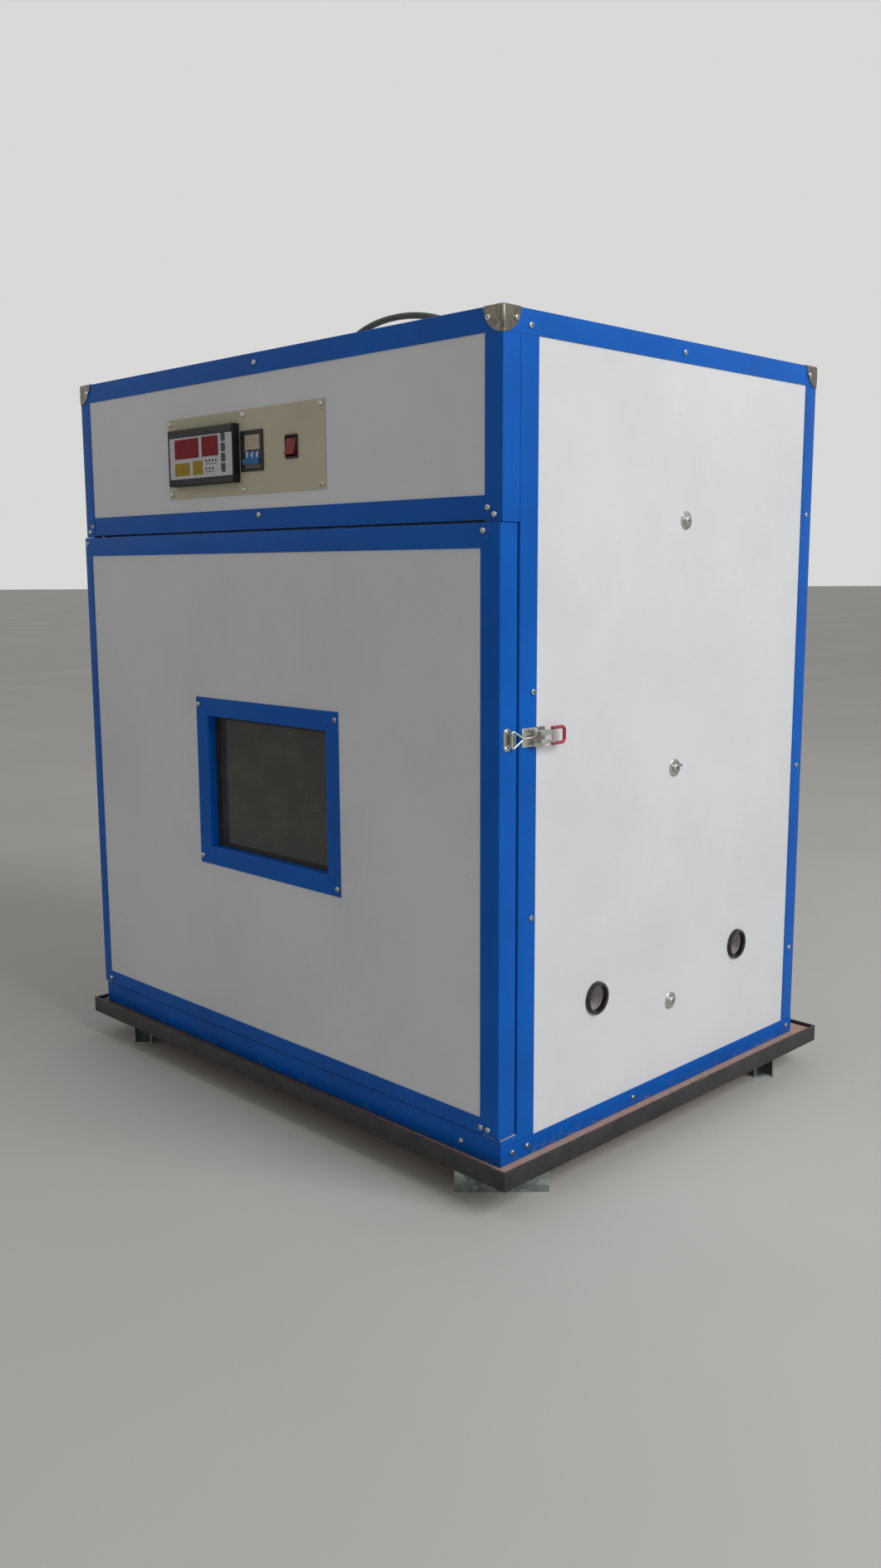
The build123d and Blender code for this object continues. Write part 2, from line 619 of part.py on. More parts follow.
# Hinges on the left side ---------------------------------------------------------------------------
hinge_x, hinge_y = left - hinge_out, front + hinge_back
skin = left - trim
third = hinge_length / 3
with BuildPart() as hinge_fixed_leaves:
    for base in hinge_heights:
        block((skin - leaf_thickness, skin), (landing + 1.5, landing + leaf_width),
              (base, base + hinge_length))
        for low in (base, base + 2 * third + knuckle_gap):
            span = (low, low + third - knuckle_gap)
            block((hinge_x, skin), (hinge_y, landing + 3), span)
            with Locations((hinge_x, hinge_y, (span[0] + span[1]) / 2)):
                Cylinder(knuckle_radius, third - knuckle_gap)
        block((hinge_x - 2 * knuckle_radius, skin - leaf_thickness), (hinge_y + 2, landing + 4),
              (base - 1, base + hinge_length + 1), mode=Mode.SUBTRACT)
        with Locations((hinge_x, hinge_y, base + hinge_length / 2)):
            Cylinder(hinge_pin_radius, hinge_length)
save(hinge_fixed_leaves, "hinge_fixed_leaves")

with BuildPart() as hinge_door_leaves:
    for base in hinge_heights:
        block((skin - leaf_thickness, skin), (door_front + 2, hinge_y - knuckle_radius),
              (base, base + hinge_length))
        middle = (base + third + knuckle_gap, base + 2 * third - knuckle_gap)
        block((skin - leaf_thickness, skin), (hinge_y - knuckle_radius - 1, hinge_y), middle)
        with Locations((hinge_x, hinge_y, base + hinge_length / 2)):
            Cylinder(knuckle_radius, middle[1] - middle[0])
        with BuildSketch(Plane.XY.offset(middle[0])):
            with BuildLine():
                Polyline((hinge_x, hinge_y - knuckle_radius), (skin, hinge_y - knuckle_radius - 1),
                         (skin, hinge_y), (hinge_x, hinge_y), close=True)
            make_face()
        extrude(amount=middle[1] - middle[0])
        with Locations((hinge_x, hinge_y, base + hinge_length / 2)):
            Cylinder(hinge_pin_radius + hinge_clearance, hinge_length + 2, mode=Mode.SUBTRACT)
save(hinge_door_leaves, "hinge_door_leaves")

# Draw latch ----------------------------------------------------------------------------------------
side_skin = right + trim
pivot = (side_skin + latch_pivot_out, front + latch_pivot_y)
bail_pivot = (side_skin + bail_pivot_out, front + bail_pivot_y)
cheek = lever_width / 2
ear_inner = cheek + ear_gap
with BuildPart() as latch_base:
    block((side_skin, side_skin + latch_sheet), (landing + 4, front + latch_base_end),
          (latch_mid - latch_plate / 2, latch_mid + latch_plate / 2))
    for side in (-1, 1):
        ear_low = latch_mid + side * ear_inner if side > 0 else latch_mid - ear_inner - latch_sheet
        with BuildSketch(Plane.XY.offset(ear_low)):
            with BuildLine():
                Polyline((side_skin, pivot[1] - 8), (pivot[0], pivot[1] - 4), (pivot[0] + 3.5, pivot[1]),
                         (pivot[0], pivot[1] + 5), (side_skin, pivot[1] + 14), close=True)
            make_face()
        extrude(amount=latch_sheet)
        with Locations((*pivot, latch_mid + side * (ear_inner + latch_sheet / 2))):
            Cylinder(rivet_radius, 2 * (latch_sheet + ear_gap) + latch_sheet)
        with Locations((*pivot, latch_mid + side * (ear_inner + latch_sheet + 0.5))):
            Cylinder(rivet_radius + 1, 1)
save(latch_base, "latch_base")

web_out = side_skin + lever_out
slot_half = bail_stem / 2 + 1
with BuildPart() as latch_lever:
    with BuildSketch(Plane.XY.offset(latch_mid - cheek)):
        with Locations(pivot):
            Circle(lever_round)
        with BuildLine():
            Polyline((side_skin + 2.4, pivot[1]), (web_out, pivot[1] + 3), (web_out, front + lever_tip_y),
                     (side_skin + 5, front + lever_tip_y), (side_skin + 2.4, front + lever_tip_y - 14),
                     close=True)
        make_face()
    extrude(amount=lever_width)
    inner = (latch_mid - cheek + latch_sheet, latch_mid + cheek - latch_sheet)
    block((side_skin, web_out - latch_sheet), (front, front + lever_tip_y + 5), inner, mode=Mode.SUBTRACT)
    block((side_skin, web_out + 1), (front, front + lever_tip_y - 4),
          (latch_mid - slot_half, latch_mid + slot_half), mode=Mode.SUBTRACT)
    block((side_skin, web_out + 1), (front, pivot[1] + 4.5), inner, mode=Mode.SUBTRACT)
    for centre, radius in ((pivot, rivet_radius), (bail_pivot, bail_pin_radius)):
        with Locations((*centre, latch_mid)):
            Cylinder(radius + rivet_clearance, lever_width + 2, mode=Mode.SUBTRACT)
save(latch_lever, "latch_lever")

grip_x = web_out - latch_sheet - grip_wire / 2 - 0.6
with BuildPart() as latch_grip:
    rim = cheek + 1.5
    with BuildLine() as loop:
        FilletPolyline((grip_x, front + lever_tip_y, latch_mid + rim),
                       (grip_x, front + grip_tip_y, latch_mid + rim),
                       (grip_x, front + grip_tip_y, latch_mid - rim),
                       (grip_x, front + lever_tip_y, latch_mid - rim), radius=5)
    with BuildSketch(Plane((grip_x, front + lever_tip_y, latch_mid + rim), z_dir=(0, 1, 0))):
        Circle(grip_wire / 2)
    sweep(path=loop.line)
save(latch_grip, "latch_grip")

with BuildPart() as latch_bail:
    with Locations((*bail_pivot, latch_mid)):
        Cylinder(bail_pin_radius, lever_width)
    bail_x = bail_pivot[0]
    stem = Plane((bail_x, bail_pivot[1], latch_mid), z_dir=(0, -1, 0))
    with BuildSketch(stem):
        Circle(bail_stem / 2)
    extrude(amount=bail_pivot_y - bail_apex_y + 1)
    bail_apex, bail_bar = front + bail_apex_y + 1, front + bail_bar_y
    with BuildLine() as triangle:
        FilletPolyline((bail_x, bail_apex, latch_mid + 0.5),
                       (bail_x, bail_bar, latch_mid + bail_half_width),
                       (bail_x, bail_bar, latch_mid - bail_half_width),
                       (bail_x, bail_apex, latch_mid - 0.5), radius=2.2)
    with BuildSketch(Plane(triangle.line @ 0, z_dir=triangle.line % 0)):
        Circle(bail_wire / 2)
    sweep(path=triangle.line)
save(latch_bail, "latch_bail")

hook_y = front + bail_bar_y + bail_wire / 2 + hook_gap
hook_out = bail_pivot_out + 3
with BuildPart() as latch_strike:
    block((side_skin, side_skin + latch_sheet), (front + 0.5, hook_y + latch_sheet),
          (latch_mid - latch_plate / 2, latch_mid + latch_plate / 2))
    block((side_skin, side_skin + hook_out), (hook_y, hook_y + latch_sheet),
          (latch_mid - hook_width / 2, latch_mid + hook_width / 2))
    for side in (-1, 1):
        rivet = (side_skin + latch_sheet, front + 5.2, latch_mid + side * 10.2)
        with Locations(Plane(rivet, z_dir=(1, 0, 0)).location):
            Cone(2.6, 1.8, 1.3, align=(Align.CENTER, Align.CENTER, Align.MIN))
save(latch_strike, "latch_strike")

# Egg rack ------------------------------------------------------------------------------------------
inner_left, inner_right = left + panel, right - panel
upright_low, upright_high = chamber_floor + upright_lift, chamber_top - upright_short
with BuildPart() as rack_uprights:
    for side in (-1, 1):
        wall_x = side * inner_right
        outer = tuple(sorted((wall_x, wall_x - side * upright_width)))
        hollow = (outer[0] + upright_wall, outer[1] - upright_wall)
        half = upright_depth / 2
        block(outer, (pivot_line - half, pivot_line + half), (upright_low, upright_high))
        block(hollow, (pivot_line - half + upright_wall, pivot_line + half - upright_wall),
              (upright_low - 1, upright_high + 1), mode=Mode.SUBTRACT)
        for height in pivot_heights:
            with Locations(Location(((outer[0] + outer[1]) / 2, pivot_line, height), (0, 90, 0))):
                Cylinder(pivot_radius + pivot_clearance, upright_width + 2, mode=Mode.SUBTRACT)
save(rack_uprights, "rack_uprights")

carrier_left = inner_left + upright_width + end_gap
carrier_right = -carrier_left
carrier_span = (carrier_left, carrier_right)
depth_span = (pivot_line - carrier_depth / 2, pivot_line + carrier_depth / 2)
tray_span_x = (carrier_left + carrier_wall + tray_clearance, carrier_right - carrier_wall - tray_clearance)
tray_span_y = (depth_span[0] + carrier_wall + tray_clearance, depth_span[1] - carrier_wall - tray_clearance)
cells_x = int((tray_span_x[1] - tray_span_x[0]) // cell_pitch)
cells_y = int((tray_span_y[1] - tray_span_y[0]) // cell_pitch)
for number, middle in enumerate(pivot_heights, start=1):
    low = middle - carrier_height / 2
    with BuildPart() as carrier:
        block(carrier_span, depth_span, (low, low + carrier_height))
        block((carrier_span[0] + carrier_wall, carrier_span[1] - carrier_wall),
              (depth_span[0] + carrier_wall, depth_span[1] - carrier_wall),
              (low + carrier_wall, low + carrier_height + 1), mode=Mode.SUBTRACT)
        block((carrier_span[0] + carrier_lip, carrier_span[1] - carrier_lip),
              (depth_span[0] + carrier_lip, depth_span[1] - carrier_lip), (low - 1, low + carrier_height),
              mode=Mode.SUBTRACT)
        for side in (-1, 1):
            face = side * carrier_right
            tip = face + side * (end_gap + upright_width - upright_wall)
            with Locations(Location(((face + tip) / 2, pivot_line, middle), (0, 90, 0))):
                Cylinder(pivot_radius, abs(tip - face))
        link_stub = (carrier_right + (end_gap - 1) / 2, pivot_line + link_arm, middle)
        with Locations(Location(link_stub, (0, 90, 0))):
            Cylinder(link_radius, end_gap - 1)
    save(carrier, f"tray_carrier_{number}")

    seat = low + carrier_wall
    with BuildPart() as egg_tray:
        block(tray_span_x, tray_span_y, (seat, seat + tray_rim))
        block((tray_span_x[0] + tray_wall, tray_span_x[1] - tray_wall),
              (tray_span_y[0] + tray_wall, tray_span_y[1] - tray_wall),
              (seat + cell_height, seat + tray_rim + 1),
              mode=Mode.SUBTRACT)
        with BuildSketch(Plane.XY.offset(seat)):
            with Locations((sum(tray_span_x) / 2, sum(tray_span_y) / 2)):
                with GridLocations(cell_pitch, cell_pitch, cells_x, cells_y):
                    Rectangle(cell_pitch - cell_wall, cell_pitch - cell_wall)
        extrude(amount=cell_height, mode=Mode.SUBTRACT)
    save(egg_tray, f"egg_tray_{number}")

link_x = carrier_right + end_gap / 2
with BuildPart() as rack_link:
    link_low, link_high = pivot_low - link_end, pivot_high + link_end
    block((link_x - link_thickness / 2, link_x + link_thickness / 2),
          (pivot_line + link_arm - link_width / 2, pivot_line + link_arm + link_width / 2),
          (link_low, link_high))
    for height in pivot_heights:
        with Locations(Location((link_x, pivot_line + link_arm, height), (0, 90, 0))):
            Cylinder(link_radius + pivot_clearance, end_gap, mode=Mode.SUBTRACT)
save(rack_link, "rack_link")

# Turning gears: a toothed sector on the middle carrier and the motor's pinion -------------------------


def tooth_flank(teeth):
    """Points of one involute flank, from root to tip, as (radius, angle) with the tooth centred on 0."""
    pitch_r = gear_module * teeth / 2
    base_r = pitch_r * cos(radians(pressure_angle))
    tip_r, root_r = pitch_r + gear_module, pitch_r - 1.25 * gear_module
    half_tooth = (pi * gear_module / 2 - gear_backlash) / 2 / pitch_r
    spread = tan(radians(pressure_angle)) - radians(pressure_angle)
    start_r = max(base_r, root_r)
    flank = []
    for step in range(7):
        radius = start_r + (tip_r - start_r) * step / 6
        roll = (max(radius ** 2 - base_r ** 2, 0)) ** 0.5 / base_r
        flank.append((radius, half_tooth + spread - (roll - atan2(roll, 1))))
    if root_r < start_r:
        flank.insert(0, (root_r, flank[0][1]))
    return flank


def gear_outline(teeth, first, count, turn):
    """Outline points of count teeth in the YZ plane, turned by turn radians."""
    flank = tooth_flank(teeth)
    points = []
    for tooth in range(first, first + count):
        centre = turn + tooth * 2 * pi / teeth
        side_up = [(r, centre - a) for r, a in flank]
        side_down = [(r, centre + a) for r, a in reversed(flank)]
        points += [(r * cos(a), r * sin(a)) for r, a in side_up + side_down]
    return points


sector_x = carrier_left - gear_width
sector_mid = pivot_heights[1]
sector_tooth_count = int(sector_span / (360 / sector_teeth))
first_tooth = -(sector_tooth_count // 2)
with BuildPart() as turner_sector:
    with BuildSketch(Plane((sector_x, pivot_line, sector_mid), x_dir=(0, 1, 0), z_dir=(1, 0, 0))):
        with BuildLine():
            outline = gear_outline(sector_teeth, first_tooth, sector_tooth_count, 0.0)
            Polyline((0, -14), *outline, (0, 14), (-14, 0), close=True)
        make_face()
        Circle(pivot_radius, mode=Mode.SUBTRACT)
        with PolarLocations(gear_module * sector_teeth / 2 - 22, 3, -36, 108, endpoint=False):
            Circle(9, mode=Mode.SUBTRACT)
    extrude(amount=gear_width)
save(turner_sector, "turner_sector")

centre_distance = gear_module * (sector_teeth + pinion_teeth) / 2
pinion_y = pivot_line + centre_distance
with BuildPart() as turner_pinion:
    with BuildSketch(Plane((sector_x, pinion_y, sector_mid), x_dir=(0, 1, 0), z_dir=(1, 0, 0))):
        with BuildLine():
            Polyline(*gear_outline(pinion_teeth, 0, pinion_teeth, pi / pinion_teeth + pi), close=True)
        make_face()
    extrude(amount=gear_width)
    with Locations(Location((sector_x - 9, pinion_y, sector_mid), (0, 90, 0))):
        Cylinder(motor_shaft, 18)
save(turner_pinion, "turner_pinion")

with BuildPart() as turner_motor:
    block((inner_left, inner_left + upright_width), (pinion_y - motor_size / 2, pinion_y + motor_size / 2),
          (sector_mid - motor_size / 2, sector_mid + motor_size / 2))
    fillet(turner_motor.edges().filter_by(Axis.X), 6)
    with Locations(Location((inner_left + upright_width, pinion_y, sector_mid), (0, 90, 0))):
        Cylinder(motor_shaft + pivot_clearance, 2 * (upright_width - 1), mode=Mode.SUBTRACT)
save(turner_motor, "turner_motor")

# Fan on the back wall --------------------------------------------------------------------------------
fan_centre = (0, fan_y + fan_depth / 2, fan_z)
with BuildPart() as fan_blades:
    with Locations(Location(fan_centre, (90, 0, 0))):
        Cylinder(fan_hub, fan_depth)
    for blade in range(fan_blades_count):
        turn = blade * 360 / fan_blades_count
        with Locations(Location(fan_centre, (0, turn, 0))):
            with Locations(Location(((fan_hub + fan_radius) / 2 - 2, 0, 0), (fan_pitch, 0, 0))):
                Box(fan_radius - fan_hub + 4, 2, 40)
    with Locations(Location((0, fan_y + fan_depth, fan_z), (90, 0, 0))):
        Cylinder(fan_shaft + pivot_clearance, 2 * (fan_depth - 3), mode=Mode.SUBTRACT)
save(fan_blades, "fan_blades")

with BuildPart() as fan_motor:
    with BuildSketch(Plane.XZ.offset(-(back - panel))):
        with Locations((0, fan_z)):
            Circle(fan_motor_radius)
            RectangleRounded(2 * fan_motor_radius + 46, 24, 6)
    extrude(amount=3)
    with BuildSketch(Plane.XZ.offset(-(back - panel))):
        with Locations((0, fan_z)):
            Circle(fan_motor_radius)
    extrude(amount=fan_motor_length)
    with BuildSketch(Plane.XZ.offset(-motor_front)):
        with Locations((0, fan_z)):
            Circle(fan_shaft)
    extrude(amount=motor_front - (fan_y + 5))
save(fan_motor, "fan_motor")

# Tubular heater, held off the back wall by two brackets -------------------------------------------------
heater_back = back - panel - heater_off
half = heater_width / 2
heater_low = fan_z - heater_drop
with BuildPart() as heater:
    with BuildLine() as tube:
        FilletPolyline((-half, back - panel, heater_low), (-half, heater_back, heater_low),
                       (half, heater_back, heater_low), (half, heater_back, heater_low + heater_run),
                       (-half, heater_back, heater_low + heater_run),
                       (-half, back - panel, heater_low + heater_run), radius=12)
    with BuildSketch(Plane((-half, back - panel, heater_low), z_dir=(0, -1, 0))):
        Circle(heater_tube / 2)
    sweep(path=tube.line)
save(heater, "heater")

with BuildPart() as water_pan:
    pan_y = pivot_line
    block((-pan_width / 2, pan_width / 2), (pan_y - pan_depth / 2, pan_y + pan_depth / 2),
          (chamber_floor, chamber_floor + pan_height))
    block((-pan_width / 2 + pan_wall, pan_width / 2 - pan_wall),
          (pan_y - pan_depth / 2 + pan_wall, pan_y + pan_depth / 2 - pan_wall),
          (chamber_floor + pan_wall, chamber_floor + pan_height + 1), mode=Mode.SUBTRACT)
save(water_pan, "water_pan")

# Mains cord: gland, free tube, coil and plug on the roof ------------------------------------------
cord_steps = [   # from the gland's foot: right, back and up
    (0, 0, gland_height), (0, 0, 38), (10, 0, 59.8), (29, -0.5, 77), (61, -1.5, 89), (104, -3, 96.5),
    (152, -4, 97.5), (200, -3, 92), (246, 0, 79), (287, 6, 59), (322, 16, 36), (355, 30, 19),
    (386, 50, 9), (412, 77, 6), (431, 111, 6),
]
cord_route = [(gland_x + across, gland_y + along, top + up) for across, along, up in cord_steps]


def corner_radii(points):
    """Largest useful bend at each inner point: 0.45 of the shorter run over tan(half the turn)."""
    radii = []
    for before, here, after in zip(points, points[1:], points[2:]):
        run_in, run_out = Vector(*here) - Vector(*before), Vector(*after) - Vector(*here)
        half_turn = radians(run_in.get_angle(run_out)) / 2
        radii.append(0.45 * min(run_in.length, run_out.length) / tan(half_turn))
    return radii


radii = corner_radii(cord_route)
with BuildPart() as cord_gland:
    with Locations((gland_x, gland_y, top - trim)):
        Cylinder(gland_thread, 12, align=(Align.CENTER, Align.CENTER, Align.MAX))
    with BuildSketch(Plane.XY.offset(top - trim)):
        with Locations((gland_x, gland_y)):
            RegularPolygon(12.5, 6)
    extrude(amount=trim + 4)
    with BuildSketch(Plane.XY.offset(top + 4)):
        with Locations((gland_x, gland_y)):
            Circle(11)
    extrude(amount=gland_height - 4, taper=14)
save(cord_gland, "cord_gland")

with BuildPart() as cord_lead:
    with BuildLine() as lead_path:
        FilletPolyline(*cord_route, radius=radii)
    with BuildSketch(Plane(cord_route[0], z_dir=lead_path.line % 0)):
        Circle(cord_radius)
    sweep(path=lead_path.line)
save(cord_lead, "cord_lead")

end = Vector(*cord_route[-1])
last_dir = (end - Vector(*cord_route[-2])).normalized()
# the lead runs into the outer turn on a tangent, with the coil on its left
turn_radius = coil_radius - cord_radius
coil_centre = (end.X - turn_radius * last_dir.Y, end.Y + turn_radius * last_dir.X)
tail_y = coil_centre[1] + turn_radius
tail_length = coil_radius + 10
with BuildPart() as cord_coil:
    with BuildSketch(Plane.XY.offset(top + coil_lift)):
        with Locations(coil_centre):
            Circle(coil_radius)
            Circle(coil_radius - coil_band, mode=Mode.SUBTRACT)
    extrude(amount=coil_turn_height)
    # the tail leaves the far side of the outer turn, towards the plug
    tail_mid = (coil_centre[0] - tail_length / 2, tail_y, top + coil_lift + cord_radius)
    with Locations(Location(tail_mid, (0, 90, 0))):
        Cylinder(cord_radius, tail_length)
save(cord_coil, "cord_coil")

plug_x, plug_mid = coil_centre[0] - tail_length, top + coil_lift + plug_height / 2
with BuildPart() as plug:
    with BuildSketch(Plane.YZ.offset(plug_x)):
        with Locations((tail_y, plug_mid)):
            RectangleRounded(plug_width, plug_height, 6)
    extrude(amount=-plug_length)
    chamfer(plug.faces().sort_by(Axis.X)[-1].edges(), 4)
    for prong_y in (-plug_pin_spacing / 2, plug_pin_spacing / 2):
        prong = (plug_x - plug_length - plug_pin_length / 2, tail_y + prong_y, plug_mid)
        with Locations(Location(prong, (0, 90, 0))):
            Cylinder(plug_pin_radius, plug_pin_length)
save(plug, "plug")
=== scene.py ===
"""Cabinet egg incubator: the visual model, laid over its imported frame.

Lengths are metres. The door looks along -Y, the draw latch is on the +X side and the mains cord
lies on the roof. Places come from the boxes of the frame's nodes.
"""
import json
import logging
import math
import random
from dataclasses import dataclass
from enum import Enum

import bmesh
import bpy
from mathutils import Matrix, Vector


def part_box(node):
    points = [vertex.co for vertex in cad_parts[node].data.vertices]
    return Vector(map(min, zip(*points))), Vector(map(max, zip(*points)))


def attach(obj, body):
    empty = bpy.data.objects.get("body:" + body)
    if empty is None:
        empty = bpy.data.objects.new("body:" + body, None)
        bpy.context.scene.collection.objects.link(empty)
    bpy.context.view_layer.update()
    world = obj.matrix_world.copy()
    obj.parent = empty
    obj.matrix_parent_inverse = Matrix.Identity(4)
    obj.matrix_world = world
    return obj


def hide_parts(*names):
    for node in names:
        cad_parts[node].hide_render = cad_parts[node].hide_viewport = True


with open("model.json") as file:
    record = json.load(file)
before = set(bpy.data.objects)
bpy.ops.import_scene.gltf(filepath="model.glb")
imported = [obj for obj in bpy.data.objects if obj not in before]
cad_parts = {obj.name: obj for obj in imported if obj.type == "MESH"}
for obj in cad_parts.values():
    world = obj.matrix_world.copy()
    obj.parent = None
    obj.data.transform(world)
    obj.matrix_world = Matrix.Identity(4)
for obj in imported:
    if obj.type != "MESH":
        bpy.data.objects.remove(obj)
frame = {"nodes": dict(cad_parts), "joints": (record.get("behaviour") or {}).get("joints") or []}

Mesh = bmesh.types.BMesh
Socket = bpy.types.NodeSocket

LOG = logging.getLogger("egg_incubator")
MM = 0.001
SMOOTH_BELOW = math.radians(28)
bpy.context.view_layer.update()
RIGHT, BACK, UP = Vector((1, 0, 0)), Vector((0, 1, 0)), Vector((0, 0, 1))
CLEAR, FULL = (0, 0, 0, 1), (1, 1, 1, 1)
MERGE_WITHIN = 1e-6


# Finishes ---------------------------------------------------------------------------------------
def linear(code: str, share: float = 1.0) -> tuple[float, float, float, float]:
    """Turn an sRGB hex colour into linear RGBA.

    Args:
        code: The colour as "#RRGGBB".
        share: How bright the result is against the colour itself.

    Returns:
        Linear red, green and blue, with an alpha of 1.
    """
    parts = [int(code[start:start + 2], 16) / 255 for start in (1, 3, 5)]
    return (*[share * (p / 12.92 if p <= 0.04045 else ((p + 0.055) / 1.055) ** 2.4) for p in parts], 1.0)


def add(tree: bpy.types.NodeTree, kind: str, inputs: dict | None = None,
        stops: list | None = None, **settings: object) -> bpy.types.Node:
    """Add one node with its settings and links.

    Args:
        tree: The node tree that gets the node.
        kind: The node's Blender type.
        inputs: Values for its inputs, or sockets to link to them, by name or number.
        stops: Places and colours of a colour ramp.
        settings: The node's own properties.

    Returns:
        The new node.
    """
    node = tree.nodes.new(kind)
    for key, value in settings.items():
        setattr(node, key, value)
    for key, value in (inputs or {}).items():
        if isinstance(value, Socket):
            tree.links.new(value, node.inputs[key])
        else:
            node.inputs[key].default_value = value
    for number, (place, colour) in enumerate(stops or []):
        elements = node.color_ramp.elements
        element = elements[number] if number < len(elements) else elements.new(place)
        element.position, element.color = place, colour
    return node


class Surface:
    """A new material's nodes, with the patterns that a finish lays on them."""

    def __init__(self, material: bpy.types.Material) -> None:
        """Start from the material's own shader.

        Args:
            material: A material with nothing on it yet.
        """
        material.use_nodes = True
        self.tree = material.node_tree
        self.shader = self.tree.nodes["Principled BSDF"]
        self.place = add(self.tree, "ShaderNodeTexCoord").outputs["Object"]

    def noise(self, scale: float, detail: float, roughness: float = 0.5,
              stretch: tuple | None = None) -> Socket:
        """Return smooth noise.

        Args:
            scale: Blotches to the metre.
            detail: Finer octaves.
            roughness: How strong the finer octaves are.
            stretch: Blotches to the metre along each axis, times the scale.

        Returns:
            The noise, from 0 to 1.
        """
        place = self.place
        if stretch:
            place = add(self.tree, "ShaderNodeMapping", {"Vector": place, "Scale": stretch}).outputs[0]
        return add(self.tree, "ShaderNodeTexNoise", {"Vector": place, "Scale": scale, "Detail": detail,
                                                     "Roughness": roughness}).outputs["Fac"]

    def cells(self, scale: float) -> bpy.types.bpy_prop_collection:
        """Return random Red, Green and Blue values for each cell of a pattern with so many to the metre."""
        pattern = add(self.tree, "ShaderNodeTexVoronoi", {"Vector": self.place, "Scale": scale})
        return add(self.tree, "ShaderNodeSeparateColor", {0: pattern.outputs["Color"]}).outputs

    def along(self, axis: str) -> Socket:
        """Return the object's X, Y or Z, in metres."""
        return add(self.tree, "ShaderNodeSeparateXYZ", {0: self.place}).outputs[axis]

    def sums(self, operation: str, first: Socket, second: Socket) -> Socket:
        """Return two patterns put together by "ADD" or "MULTIPLY"."""
        return add(self.tree, "ShaderNodeMath", {0: first, 1: second}, operation=operation).outputs[0]

    def spread(self, value: Socket, start: float, end: float, low: float, high: float) -> Socket:
        """Return a value from start to end spread over low to high."""
        return add(self.tree, "ShaderNodeMapRange", {"Value": value, "From Min": start, "From Max": end,
                                                     "To Min": low, "To Max": high}).outputs["Result"]

    def ramp(self, pattern: Socket, low: float, high: float, top: tuple = FULL,
             foot: tuple = CLEAR) -> Socket:
        """Return a colour ramp.

        Args:
            pattern: What it follows.
            low: Pattern value of the foot colour.
            high: Pattern value of the top colour.
            top: Linear colour at the top.
            foot: Linear colour at the foot.

        Returns:
            The ramp's colour.
        """
        return add(self.tree, "ShaderNodeValToRGB", {"Fac": pattern},
                   stops=[(low, foot), (high, top)]).outputs["Color"]

    def paint(self, colour: Socket) -> Socket:
        """Colour the surface, and return the same colour."""
        self.tree.links.new(colour, self.shader.inputs["Base Color"])
        return colour

    def mottle(self, pattern: Socket, dark: str, light: str, low: float = 0.3, high: float = 0.7) -> Socket:
        """Colour the surface between two hex shades, from a low to a high value of a pattern."""
        return self.paint(self.ramp(pattern, low, high, linear(light), linear(dark)))

    def over(self, mask: Socket, base: Socket, code: str) -> Socket:
        """Lay a hex colour over a base colour by a mask, paint that and return it."""
        mixed = add(self.tree, "ShaderNodeMix", {0: mask, 6: base, 7: linear(code)}, data_type="RGBA")
        return self.paint(mixed.outputs[2])

    def sheen(self, pattern: Socket, low: float, high: float) -> None:
        """Vary the roughness from low to high by a pattern."""
        self.tree.links.new(self.spread(pattern, 0.0, 1.0, low, high), self.shader.inputs["Roughness"])

    def grain(self, pattern: Socket, height: float, strength: float) -> None:
        """Raise the surface by a pattern of some height in metres, at a strength from 0 to 1."""
        bump = add(self.tree, "ShaderNodeBump", {"Height": pattern, "Distance": height, "Strength": strength})
        self.tree.links.new(bump.outputs["Normal"], self.shader.inputs["Normal"])


@dataclass(frozen=True)
class Finish:
    """A surface finish, which builds its own node material the first time it is used."""

    name: str
    slot: str
    colour: str
    roughness: float = 0.5

    def material(self) -> bpy.types.Material:
        """Return the finish's material.

        Returns:
            The material, made on the first call.
        """
        found = bpy.data.materials.get(self.name)
        if found:
            return found
        made = bpy.data.materials.new(self.name)
        on = Surface(made)
        on.shader.inputs["Base Color"].default_value = linear(self.colour)
        on.shader.inputs["Roughness"].default_value = self.roughness
        self.dress(on)
        return made

    def dress(self, on: Surface) -> None:
        """Add the finish's patterns to a surface.

        Args:
            on: The surface.
        """
        raise NotImplementedError

    def worn(self, on: Surface, pattern: Socket, smooth: float, rough: float) -> None:
        """Vary the roughness by a pattern.

        Args:
            on: The surface.
            pattern: What it follows.
            smooth: Change of the roughness where the pattern is 0.
            rough: Change of it where the pattern is 1.
        """
        on.sheen(pattern, self.roughness + smooth, self.roughness + rough)


@dataclass(frozen=True)
class CoilCoatedSteel(Finish):
    """Polyester coil-coated steel skin: a smooth pale satin sheet that holds faint hand smears."""

    shade: str = "#D1D3D7"
    dust: str = "#A9A79F"

    def dress(self, on: Surface) -> None:
        """Add smears 200 mm wide, sparse 4 mm dust specks and the coating's 1 mm orange peel.

        Args:
            on: The surface.
        """
        smear = on.noise(5.0, 5.0, 0.6)
        skin = on.mottle(smear, self.shade, self.colour, 0.25, 0.6)
        on.over(on.ramp(on.noise(240.0, 1.0), 0.80, 0.83), skin, self.dust)
        self.worn(on, smear, -0.06, 0.12)
        on.grain(on.noise(900.0, 1.0), 0.04 * MM, 0.35)


